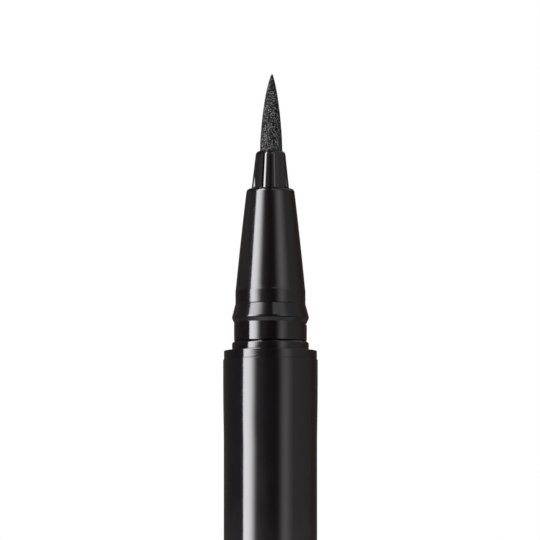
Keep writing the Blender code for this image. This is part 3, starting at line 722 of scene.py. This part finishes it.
def make_holder(material):
    """Small glossy cone that grips the tip, with vent flutes that open in notches at its base."""
    crown = holder_crown()
    corners = [
        *crown,
        (HOLDER_BASE_RADIUS, -HOLDER_SKIRT, THIN_EDGE),
        (HOLDER_STEM_RADIUS, -HOLDER_SKIRT),
        (HOLDER_STEM_RADIUS, -HOLDER_STEM + FLUTE_DEPTH),
        (HOLDER_STEM_RADIUS - FLUTE_DEPTH, -HOLDER_STEM),
        (HOLDER_BORE, -HOLDER_STEM),
        (HOLDER_BORE, crown[0][1] - 2 * HOLDER_LEAD_IN),
    ]
    holder = revolve("tip_grip", corners, HOLDER_LEVEL, HOLDER_SEGMENTS, holder_section)
    for vert in holder.data.vertices:
        height = vert.co.z / MM - HOLDER_LEVEL
        vert.co.x += HOLDER_LEAN * max(0.0, height / HOLDER_HEIGHT) * MM
    flutes = bmesh.new()
    notches = bmesh.new()
    flute_foot = HOLDER_LEVEL - HOLDER_STEM - OVERCUT
    low = (HOLDER_STEM_RADIUS - FLUTE_DEPTH, -FLUTE_WIDTH / 2, flute_foot)
    high = (HOLDER_BASE_RADIUS + OVERCUT, FLUTE_WIDTH / 2, HOLDER_LEVEL + VENT_GROOVE)
    for index in range(FLUTE_COUNT):
        turn = FLUTE_TURN + math.tau * index / FLUTE_COUNT
        block(flutes, low, high, turn)
        vent_notch(notches, HOLDER_LEVEL, turn)
    combine(holder, flutes, "DIFFERENCE")
    combine(holder, notches, "DIFFERENCE")
    finish_piece(holder, "pen", "tip_holder", material)


def tip_outline():
    """The ground point's outline, a cubic curve from the apex down to the holder."""
    full = TIP_RADIUS + TIP_SWELL
    controls = [
        (TIP_POINT, TIP_LENGTH - TIP_POINT / 2),
        *((radii * full, lengths * TIP_LENGTH) for radii, lengths in TIP_CURVE),
        (full, 0.0),
    ]
    points = []
    for step in range(TIP_RINGS + 1):
        t = step / TIP_RINGS
        weights = ((1 - t) ** 3, 3 * t * (1 - t) ** 2, 3 * t * t * (1 - t), t**3)
        points.append(tuple(sum(w * c[k] for w, c in zip(weights, controls)) for k in (0, 1)))
    return points


def make_tip(material):
    """Felt point with the bonded fibre's grain raised in its mesh."""
    corners = [
        (0.0, TIP_LENGTH),
        *tip_outline(),
        (TIP_RADIUS, -2 * TIP_SWELL),
        (TIP_RADIUS, -TIP_STEM),
        (CORE_BORE, -TIP_STEM),
        (CORE_BORE, CORE_IN_TIP - TIP_STEM),
        (0.0, CORE_IN_TIP - TIP_STEM),
    ]
    tip = revolve("felt_tip", corners, MOUTH_LEVEL, TIP_SEGMENTS)
    for vert in tip.data.vertices:
        height = vert.co.z / MM - MOUTH_LEVEL
        if height < 0:
            # Inside the holder the tip comes back to the axis
            vert.co.x += TIP_OFFSET * max(0.0, 1 + height / HOLDER_HEIGHT) * MM
            continue
        place = vert.co / MM
        outward = Vector((place.x, place.y, 0.0))
        reach = min(1.0, outward.length / GRAIN_FULL_RADIUS) * min(1.0, height / GRAIN_FULL_HEIGHT)
        grain = noise.noise(place / GRAIN_SIZE) * GRAIN_HEIGHT
        lump = noise.noise(place / LUMP_SIZE) * LUMP_HEIGHT
        if outward.length > 0:
            vert.co += outward.normalized() * (grain + lump - GRAIN_HEIGHT / 2) * reach * MM
        share = height / TIP_LENGTH
        vert.co.x += (TIP_OFFSET + TIP_LEAN * share + TIP_HOOK * share**TIP_HOOK_FADE) * MM
    finish_piece(tip, "pen", "brush_tip", material)


def make_tail(material):
    """Plug that closes the tank, with the boss that the cap is posted on."""
    boss_top = -TAIL_FLANGE - TAIL_RING
    boss_foot = boss_top - TAIL_BOSS
    floor = TAIL_PLUG_LENGTH - TAIL_DISH
    corners = [
        (0.0, floor),
        (PLUG_RADIUS - TAIL_RIM, TAIL_PLUG_LENGTH, SMALL_EDGE),
        (PLUG_RADIUS - TAIL_LEAD_IN[0], TAIL_PLUG_LENGTH, SMALL_EDGE),
        (PLUG_RADIUS, TAIL_PLUG_LENGTH - TAIL_LEAD_IN[1], SMALL_EDGE),
        *seal_groove(SEAL_SHOULDER),
        (PLUG_RADIUS, -SEAT_GAP),
        (FLANGE_RADIUS, -SEAT_GAP, SMALL_EDGE),
        (FLANGE_RADIUS, -SEAT_GAP - TAIL_FLANGE, TAIL_FLANGE_FILLET),
        (RING_RADIUS, -SEAT_GAP - TAIL_FLANGE),
        (RING_RADIUS, boss_top + RING_RADIUS - NECK_RADIUS, SMALL_EDGE),
        (BOSS_RADIUS, boss_top, SMALL_EDGE),
        (BOSS_RADIUS, boss_foot + BOSS_CHAMFER, ROUND_EDGE),
        (BOSS_RADIUS - BOSS_CHAMFER, boss_foot, SOFT_EDGE),
        (BOSS_BORE, boss_foot, SOFT_EDGE),
        (BOSS_BORE, boss_top),
        (TAIL_RECESS, 0.0),
        (TAIL_RECESS, floor - TAIL_END_WALL, ROUND_EDGE),
        (0.0, floor - TAIL_END_WALL),
    ]
    tail = revolve("tail_moulding", corners, BARREL_FOOT)
    finish_piece(tail, "pen", "tail_plug", material)


def make_cap(material):
    """Push-on cap, mouth up, with its snap rib and the ribs that hold the inner cap."""
    rib = CAP_TOP - SNAP_RIB_START
    corners = [
        (0.0, CAP_END_WALL),
        (DEEP_BORE, CAP_END_WALL, BROAD_EDGE),
        (DEEP_BORE, CAP_TOP - SNAP_ZONE - SNAP_ZONE_TAPER),
        (CAP_BORE, CAP_TOP - SNAP_ZONE),
        (CAP_BORE, rib - 2 * SNAP_RIB_SLOPE - SNAP_RIB_LENGTH, SOFT_EDGE),
        (SNAP_RIB_RADIUS, rib - SNAP_RIB_SLOPE - SNAP_RIB_LENGTH, SOFT_EDGE),
        (SNAP_RIB_RADIUS, rib - SNAP_RIB_SLOPE, SOFT_EDGE),
        (CAP_BORE, rib, SOFT_EDGE),
        (CAP_BORE, CAP_TOP - CAP_MOUTH_CHAMFER, SMALL_EDGE),
        (CAP_BORE + CAP_MOUTH_CHAMFER, CAP_TOP, THIN_EDGE),
        (BARREL_RADIUS, CAP_TOP, SOFT_EDGE),
        (BARREL_RADIUS, 0.0, CAP_END_FILLET),
        (GATE_MARK_RADIUS, 0.0, SMALL_EDGE),
        (GATE_MARK_RADIUS - GATE_MARK_DEPTH, GATE_MARK_DEPTH, SMALL_EDGE),
        (0.0, GATE_MARK_DEPTH),
    ]
    cap = revolve("cap_body", corners, 0.0)
    ribs = bmesh.new()
    low = (INNER_CAP_RADIUS + PRESS_FIT, -CAP_RIB_WIDTH / 2, CAP_END_WALL / 2)
    high = (DEEP_BORE + CAP_RIB_ROOT, CAP_RIB_WIDTH / 2, INNER_CAP_MOUTH + CAP_RIB_ABOVE)
    for index in range(CAP_RIB_COUNT):
        turn = math.tau * (index / CAP_RIB_COUNT + CAP_RIB_TURN)
        block(ribs, low, high, turn, CAP_RIB_LEAD_IN)
    combine(cap, ribs, "UNION")
    finish_piece(cap, "cap", "cap_shell", material)


def make_inner_cap(material):
    """Thimble in the cap that closes on the front of the nose."""
    foot = CAP_END_WALL + SEAT_GAP
    mouth = INNER_CAP_MOUTH - foot
    shoulder = CAP_TOP - NOSE_LENGTH - INNER_CAP_SHOULDER - foot
    bore = NOSE_FRONT_RADIUS - INNER_CAP_STEP
    corners = [
        (0.0, INNER_CAP_FLOOR),
        (bore, INNER_CAP_FLOOR, INNER_CAP_FILLET),
        (bore, shoulder, FINE_EDGE),
        (NOSE_FRONT_RADIUS + PRESS_FIT, shoulder),
        (INNER_CAP_SEAT, mouth - INNER_CAP_LIP / 2, SOFT_EDGE),
        (INNER_CAP_SEAT + INNER_CAP_LIP / 2, mouth, INNER_CAP_LIP_FILLETS[0]),
        (INNER_CAP_RADIUS, mouth, INNER_CAP_LIP_FILLETS[1]),
        (INNER_CAP_RADIUS, 0.0, INNER_CAP_FILLET),
        (0.0, 0.0),
    ]
    inner = revolve("cap_thimble", corners, foot, INNER_SEGMENTS)
    finish_piece(inner, "cap", "inner_cap", material)


def feed(tree, socket, value):
    """Links a node's output to a socket, or sets the socket to a plain value."""
    if isinstance(value, bpy.types.NodeSocket):
        tree.links.new(value, socket)
    else:
        socket.default_value = value


def set_sockets(tree, node, **sockets):
    """Feeds a node's sockets, named with underscores for spaces."""
    for name, value in sockets.items():
        feed(tree, node.inputs[name.replace("_", " ")], value)


def add_node(tree, kind, **sockets):
    node = tree.nodes.new("ShaderNode" + kind)
    set_sockets(tree, node, **sockets)
    return node


def add_math(tree, operation, first, second, clamp=False):
    node = add_node(tree, "Math")
    node.operation = operation
    node.use_clamp = clamp
    feed(tree, node.inputs[0], first)
    feed(tree, node.inputs[1], second)
    return node.outputs["Value"]


def add_ramp(tree, value, stops):
    """A colour ramp through (position, colour) stops. A plain number stands for a grey."""
    node = add_node(tree, "ValToRGB", Fac=value)
    elements = node.color_ramp.elements
    while len(elements) < len(stops):
        elements.new(0.5)
    for element, (position, colour) in zip(elements, stops):
        element.position = position
        element.color = (*colour, 1.0) if isinstance(colour, tuple) else (*[colour] * 3, 1.0)
    return node.outputs["Color"]


def new_material(name):
    material = bpy.data.materials.new(name)
    material.use_nodes = True
    return material


class Finish:
    """A material whose node tree is built step by step. Texture sizes are in millimetres."""

    def __init__(self, name, ior=1.6):
        self.material = new_material(name)
        self.tree = self.material.node_tree
        self.shader = self.tree.nodes["Principled BSDF"]
        self.shader.inputs["IOR"].default_value = ior
        self.place = add_node(self.tree, "TexCoord").outputs["Object"]

    def stretched(self, x, y, z):
        """The place on the object in millimetres, divided by a size along each axis."""
        scale = (1 / (x * MM), 1 / (y * MM), 1 / (z * MM))
        return add_node(self.tree, "Mapping", Vector=self.place, Scale=scale).outputs["Vector"]

    def noise(self, x, y=None, z=None, detail=2.0, roughness=0.5, distortion=0.0):
        node = add_node(self.tree, "TexNoise", Vector=self.stretched(x, y or x, z or x), Scale=1.0)
        set_sockets(self.tree, node, Detail=detail, Roughness=roughness, Distortion=distortion)
        return node.outputs["Fac"]

    def voronoi(self, size):
        return add_node(self.tree, "TexVoronoi", Vector=self.stretched(size, size, size), Scale=1.0)

    def cells(self, size, feature="F1"):
        """Distance to the nearest of scattered points, or to the edge between their cells."""
        node = self.voronoi(size)
        node.feature = feature
        return node.outputs["Distance"]

    def cell_values(self, size):
        """One value for each of many small cells, for fibre ends."""
        colour = self.voronoi(size).outputs["Color"]
        return add_node(self.tree, "SeparateColor", Color=colour).outputs["Red"]

    def ramp(self, value, *stops):
        return add_ramp(self.tree, value, stops)

    def product(self, first, second):
        return add_math(self.tree, "MULTIPLY", first, second)

    def total(self, first, *others):
        for value in others:
            first = add_math(self.tree, "ADD", first, value)
        return first

    def mapped(self, value, low, high, below, above):
        node = add_node(self.tree, "MapRange", Value=value, From_Min=low, From_Max=high)
        set_sockets(self.tree, node, To_Min=below, To_Max=above)
        return node.outputs["Result"]

    def range(self, value, low, high):
        """Spreads a noise's middle part over a range."""
        return self.mapped(value, NOISE_LOW, NOISE_HIGH, low, high)

    def by_height(self, low, high, below, above=1.0):
        """A value that changes between two heights above the table, in millimetres."""
        split = add_node(self.tree, "SeparateXYZ", Vector=self.place)
        return self.mapped(split.outputs["Z"], low * MM, high * MM, below, above)

    def bump(self, height, depth, strength=1.0, after=None):
        """A bump whose height of 1 stands for a depth in millimetres."""
        node = add_node(self.tree, "Bump", Height=height, Distance=depth * MM, Strength=strength)
        if after:
            feed(self.tree, node.inputs["Normal"], after)
        return node.outputs["Normal"]

    def set(self, **sockets):
        """Feeds the shader's sockets and gives the material."""
        set_sockets(self.tree, self.shader, **sockets)
        return self.material


def black_plastic(
    name, tones, roughness, ripple, lines=0.0, glossy_below=None, scuffs=(), ior=1.6, paler_low=None
):
    """Black moulded plastic with faint smudges, dust, a surface ripple and fine turned lines."""
    made = Finish(name, ior)
    film = made.noise(*FILM_SIZE, detail=4.0, roughness=0.6)
    dust = made.ramp(made.cells(DUST_SIZE), *DUST_LEVELS)
    # The tone grows paler lower down, between two given heights.
    if paler_low:
        film = made.total(film, made.by_height(*paler_low))
    mix = add_node(made.tree, "Mix", Factor=DUST_SHARE)
    mix.data_type = "RGBA"
    mix.blend_type = "ADD"
    feed(made.tree, mix.inputs[MIX_FIRST], made.ramp(film, *zip(TONE_PLACES, tones)))
    feed(made.tree, mix.inputs[MIX_SECOND], dust)
    wave = made.bump(made.noise(*RIPPLE_SIZE), ripple)
    turned = made.bump(made.noise(*TURNING_SIZE, detail=3.0, roughness=0.7), lines, after=wave)
    for foot, head, depth in scuffs:
        marks = made.noise(*SCUFF_SIZE, roughness=0.6)
        above_foot = made.by_height(foot - SCUFF_BLEND, foot + SCUFF_BLEND, 0.0)
        below_head = made.by_height(head - SCUFF_BLEND, head + SCUFF_BLEND, 1.0, 0.0)
        inside = made.product(above_foot, below_head)
        turned = made.bump(made.product(marks, inside), depth, after=turned)
    smudge = made.noise(*SMUDGE_SIZE, detail=5.0, roughness=0.62, distortion=0.6)
    rough = made.range(smudge, *roughness)
    if glossy_below:
        rough = made.product(rough, made.by_height(*glossy_below))
    return made.set(Base_Color=mix.outputs[MIX_RESULT], Roughness=rough, Normal=turned)


def felt():
    """Ground bonded fibre soaked with black: matt, with dark pores and pale fibre ends whose
    brightest part is painted glint.
    """
    made = Finish("tip_felt_finish", ior=1.33)
    values = made.cell_values(FIBRE_SIZE)
    fibres = made.cells(FIBRE_SIZE, "DISTANCE_TO_EDGE")
    clumps = made.noise(*CLUMP_SIZE)
    specks = made.noise(*SPECK_SIZE, detail=1.0, roughness=0.6)
    shade_start = MOUTH_LEVEL + POINT_SHADE_START
    grain_and_painted_glints = made.total(
        made.product(fibres, FIBRE_WEIGHT),
        made.product(values, FIBRE_VALUE_WEIGHT),
        made.product(specks, SPECK_WEIGHT),
        made.range(clumps, -CLUMP_WEIGHT, CLUMP_WEIGHT),
        made.by_height(shade_start, MOUTH_LEVEL + TIP_LENGTH, 0.0, -POINT_SHADE),
    )
    # Painted glints: the ramp's palest stops lift the fibre ends and specks to a brightness that
    # stands for the fibres' glints.
    tone = made.ramp(
        grain_and_painted_glints,
        (0.558, (0.001, 0.001, 0.001)),
        (0.67, (0.008, 0.007, 0.008)),
        (0.77, (0.031, 0.029, 0.031)),
        (0.85, (0.11, 0.106, 0.112)),
        (0.94, (0.42, 0.41, 0.425)),
    )
    return made.set(
        Base_Color=tone,
        Roughness=made.range(specks, 0.62, 0.9),
        Normal=made.bump(grain_and_painted_glints, depth=0.05, strength=0.8),
        Specular_IOR_Level=0.3,
    )


def natural_plastic():
    """Uncoloured moulded plastic: milky, with flow streaks and a satin skin."""
    made = Finish("natural_plastic_finish", ior=1.5)
    streaks = made.noise(1.2, 1.2, 6.0, detail=4.0)
    return made.set(
        Base_Color=made.ramp(streaks, (0.3, (0.66, 0.66, 0.61)), (0.7, (0.76, 0.76, 0.72))),
        Roughness=made.range(streaks, 0.34, 0.46),
        Normal=made.bump(made.noise(0.12), depth=0.004),
        Subsurface_Weight=0.25,
        Subsurface_Radius=(0.0006, 0.0006, 0.0005),
    )


def rubber():
    """Black seal rubber with a fine grain."""
    made = Finish("seal_rubber_finish", ior=1.5)
    grain = made.noise(0.08, detail=3.0)
    return made.set(
        Base_Color=made.ramp(grain, (0.3, 0.018), (0.7, 0.034)),
        Roughness=made.range(grain, 0.55, 0.72),
        Normal=made.bump(grain, depth=0.01),
    )


def core_fibre():
    """Bundled fibre rod, streaked along its length."""
    made = Finish("core_fibre_finish", ior=1.45)
    strands = made.noise(0.05, 0.05, 2.5, detail=3.0, roughness=0.7)
    return made.set(
        Base_Color=made.ramp(strands, (0.3, (0.42, 0.39, 0.33)), (0.7, (0.74, 0.70, 0.62))),
        Roughness=made.range(strands, 0.8, 0.95),
        Normal=made.bump(strands, depth=0.02),
    )


def ball_steel():
    """Polished stainless steel with faint tumbling marks."""
    made = Finish("ball_steel_finish")
    marks = made.noise(0.3, detail=5.0, roughness=0.7)
    return made.set(
        Base_Color=made.ramp(marks, (0.3, (0.50, 0.50, 0.51)), (0.7, (0.61, 0.61, 0.62))),
        Metallic=1.0,
        Roughness=made.range(marks, 0.14, 0.26),
        Normal=made.bump(marks, depth=0.002),
    )


def sky_point(azimuth, elevation, distance):
    """A point round the studio's centre. Azimuth is from the camera's direction, to its right."""
    a = math.radians(azimuth)
    e = math.radians(elevation)
    return Vector((
        distance * math.cos(e) * math.sin(a),
        -distance * math.cos(e) * math.cos(a),
        STUDIO_CENTRE + distance * math.sin(e),
    ))


def card_point(azimuth, elevation, distance):
    """A point of a card, which turns in along the floor where it would pass below it."""
    if elevation < 0:
        to_floor = (STUDIO_CENTRE - FLOOR_CLEARANCE) / math.sin(math.radians(-elevation))
        distance = min(distance, to_floor)
    return sky_point(azimuth, elevation, distance)


def card_object(name, distance, low, high, sides):
    """A curved card between two elevations, with a table of its sides and a UV map."""
    mesh = bmesh.new()
    uv = mesh.loops.layers.uv.new("card")
    grid = []
    for row in range(CARD_ROWS + 1):
        elevation = low + (high - low) * row / CARD_ROWS
        left, right = looked_up(sides, elevation)
        line = []
        for column in range(CARD_COLUMNS + 1):
            azimuth = left + (right - left) * column / CARD_COLUMNS
            line.append(mesh.verts.new(card_point(azimuth, elevation, distance)))
        grid.append(line)
    for row in range(CARD_ROWS):
        for column in range(CARD_COLUMNS):
            places = ((row, column), (row, column + 1), (row + 1, column + 1), (row + 1, column))
            face = mesh.faces.new([grid[r][c] for r, c in places])
            for loop, (r, c) in zip(face.loops, places):
                loop[uv].uv = (c / CARD_COLUMNS, r / CARD_ROWS)
    return mesh_object(name, mesh)


def card_material(name, strength, across, along):
    """Emission whose level runs across the card and along its height."""
    material = new_material(name)
    tree = material.node_tree
    tree.nodes.clear()
    place = add_node(tree, "UVMap")
    place.uv_map = "card"
    split = add_node(tree, "SeparateXYZ", Vector=place.outputs["UV"])
    product = add_node(tree, "VectorMath")
    product.operation = "MULTIPLY"
    feed(tree, product.inputs[0], add_ramp(tree, split.outputs["X"], across))
    feed(tree, product.inputs[1], add_ramp(tree, split.outputs["Y"], along))
    emission = add_node(tree, "Emission", Color=product.outputs["Vector"], Strength=strength)
    add_node(tree, "OutputMaterial", Surface=emission.outputs["Emission"])
    return material


def card(name, distance, low, high, sides, strength, across, along=EVEN):
    """A studio card that shows in the pen's gloss alone."""
    made = card_object(name, distance, low, high, sides)
    made.data.materials.append(card_material(name + "_cloth", strength, across, along))
    made.visible_camera = False
    made.visible_diffuse = False
    made.visible_shadow = False
    made.visible_transmission = False
    made.visible_volume_scatter = False


def make_studio():
    """Flags all round, the softbox and its wall at the left, and dimmer cards at the right."""
    flags_across = [((azimuth + 180) / 360, level) for azimuth, level in FLAG_LEVELS]
    card(
        "flags", FLAG_DISTANCE, FLAG_FOOT, ZENITH, ALL_ROUND, strength=1.0,
        across=flags_across, along=FLAGS_ALONG,
    )
    card(
        "floor_flag", FLAG_DISTANCE, NADIR, FLAG_FOOT, ALL_ROUND, strength=1.4,
        across=FLOOR_FLAG_ACROSS, along=FLOOR_FLAG_ALONG,
    )
    card(
        "left_softbox", CARD_DISTANCE, CARD_FOOT, CARD_HEAD, SOFTBOX_SIDES, strength=18.5,
        across=SOFTBOX_ACROSS, along=SOFTBOX_ALONG,
    )
    card(
        "left_wall", CARD_DISTANCE, WALL_FOOT, WALL_HEAD, WALL_SIDES, strength=1.3,
        across=WALL_ACROSS, along=WALL_ALONG,
    )
    card(
        "right_card", CARD_DISTANCE, CARD_FOOT, CARD_SPLIT, RIGHT_SIDES, strength=1.55,
        across=RIGHT_ACROSS, along=RIGHT_ALONG,
    )
    card(
        "upper_right_card", CARD_DISTANCE, CARD_SPLIT, CARD_HEAD, UPPER_RIGHT_SIDES, strength=1.0,
        across=UPPER_RIGHT_ACROSS,
    )
    card(
        "far_right_card", CARD_DISTANCE, FAR_RIGHT_FOOT, CARD_HEAD, FAR_RIGHT_SIDES, strength=1.0,
        across=FAR_RIGHT_ACROSS,
    )


def light_path_factor(tree):
    """1 for what the camera sees, directly, in gloss or through glass."""
    path = add_node(tree, "LightPath")
    total = path.outputs["Is Camera Ray"]
    for name in ("Is Glossy Ray", "Is Transmission Ray"):
        total = add_math(tree, "ADD", total, path.outputs[name], clamp=True)
    return total


def make_world():
    """White to the camera and in gloss, and dimmer as light on the pen and the floor."""
    world = bpy.data.worlds.new("studio")
    bpy.context.scene.world = world
    world.use_nodes = True
    tree = world.node_tree
    level = add_node(tree, "MapRange", Value=light_path_factor(tree), To_Min=AMBIENT, To_Max=1.0)
    set_sockets(
        tree, tree.nodes["Background"], Color=(1.0, 1.0, 1.0, 1.0), Strength=level.outputs["Result"]
    )


def make_floor():
    """Pale floor that keeps the pen's shadow and turns to the white background away from it."""
    mesh = bmesh.new()
    bmesh.ops.create_circle(mesh, cap_ends=True, segments=FLOOR_SEGMENTS, radius=FLOOR_RADIUS)
    floor = mesh_object("floor", mesh)
    material = new_material("floor_paper")
    tree = material.node_tree
    paper = tree.nodes["Principled BSDF"]
    set_sockets(
        tree, paper, Base_Color=(0.86, 0.86, 0.86, 1.0), Roughness=0.9, Specular_IOR_Level=0.1
    )
    reach = add_node(tree, "VectorMath")
    reach.operation = "LENGTH"
    feed(tree, reach.inputs[0], add_node(tree, "NewGeometry").outputs["Position"])
    near, far = FLOOR_FADE
    fade = add_node(tree, "MapRange", Value=reach.outputs["Value"], From_Min=near, From_Max=far)
    fade.interpolation_type = "SMOOTHSTEP"
    share = add_math(tree, "MULTIPLY", fade.outputs["Result"], light_path_factor(tree))
    white = add_node(tree, "Emission")
    mix = add_node(tree, "MixShader", Fac=share)
    feed(tree, mix.inputs[1], paper.outputs["BSDF"])
    feed(tree, mix.inputs[2], white.outputs["Emission"])
    set_sockets(tree, tree.nodes["Material Output"], Surface=mix.outputs["Shader"])
    floor.data.materials.append(material)


def lamp(name, azimuth, elevation, distance, size, power):
    """A soft area lamp aimed at the pen. The cards stand for it in gloss."""
    data = bpy.data.lights.new(name, "AREA")
    data.shape = "RECTANGLE"
    data.size, data.size_y = size
    data.energy = power
    made = new_object(name, data)
    made.location = sky_point(azimuth, elevation, distance)
    aim = Vector((0.0, 0.0, STUDIO_CENTRE)) - made.location
    made.rotation_euler = aim.to_track_quat("-Z", "Y").to_euler()
    made.visible_camera = False
    made.visible_glossy = False


def make_camera():
    data = bpy.data.cameras.new("camera")
    data.sensor_width = SENSOR_WIDTH
    data.lens = SENSOR_WIDTH * CAMERA_DISTANCE / VIEW_WIDTH
    camera = new_object("camera", data)
    aim = Vector((AIM_RIGHT, 0.0, FLANGE_LEVEL * MM + AIM_ABOVE_FLANGE))
    back = Vector((0.0, -math.cos(CAMERA_ELEVATION), math.sin(CAMERA_ELEVATION)))
    camera.location = aim + back * CAMERA_DISTANCE
    camera.rotation_euler = (-back).to_track_quat("-Z", "Y").to_euler()
    bpy.context.scene.camera = camera


def dress():
    """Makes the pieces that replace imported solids, and finishes those that stay."""
    gloss = black_plastic("black_gloss_finish", (0.003, 0.005), (0.09, 0.14), ripple=0.0006)
    lacquer = black_plastic(
        "barrel_lacquer_finish",
        tones=((0.0055, 0.004, 0.0048), (0.0075, 0.006, 0.0068), (0.0155, 0.0135, 0.0145)),
        roughness=(0.08, 0.12),
        ripple=0.0004,
        paler_low=(FLANGE_LEVEL - PALER_LOW_FULL, FLANGE_LEVEL - PALER_LOW_START, PALER_LOW_AMOUNT, 0.0),
    )
    bead = FLANGE_LEVEL + BEAD_FOOT
    band_top = FLANGE_LEVEL + BAND_TOP + SCUFFS_ABOVE_BAND
    satin = black_plastic(
        "nose_satin_finish",
        tones=((0.0038, 0.0022, 0.003), (0.005, 0.0034, 0.0042)),
        roughness=(0.12, 0.165),
        ripple=0.0006,
        lines=0.0006,
        glossy_below=(bead - POLISH_BLEND, bead + POLISH_BLEND, POLISHED_ROUGHNESS),
        scuffs=(
            (FLANGE_LEVEL - FLANGE_HEIGHT, FLANGE_LEVEL + NECK_FOOT, 0.016),
            (FLANGE_LEVEL + FLARE_TOP, band_top, 0.010),
        ),
    )
    polished = black_plastic(
        "holder_gloss_finish",
        tones=((0.0025, 0.001, 0.0016), (0.0035, 0.002, 0.0026)),
        roughness=(0.018, 0.032),
        ripple=0.0004,
        ior=1.71,
    )
    natural = natural_plastic()
    seal = rubber()
    make_cap(gloss)
    make_inner_cap(natural)
    make_tail(gloss)
    make_barrel(lacquer)
    make_nose(satin)
    make_holder(polished)
    make_tip(felt())
    kept = {
        "tail_seal": seal,
        "section_seal": seal,
        "collector": natural,
        "feed_core": core_fibre(),
        "mixing_ball": ball_steel(),
    }
    for name, material in kept.items():
        give_material(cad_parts[name], material)


make_camera()
make_world()
make_floor()
make_studio()
for settings in LAMPS:
    lamp(*settings)
dress()
bpy.context.scene.view_settings.view_transform = "Standard"
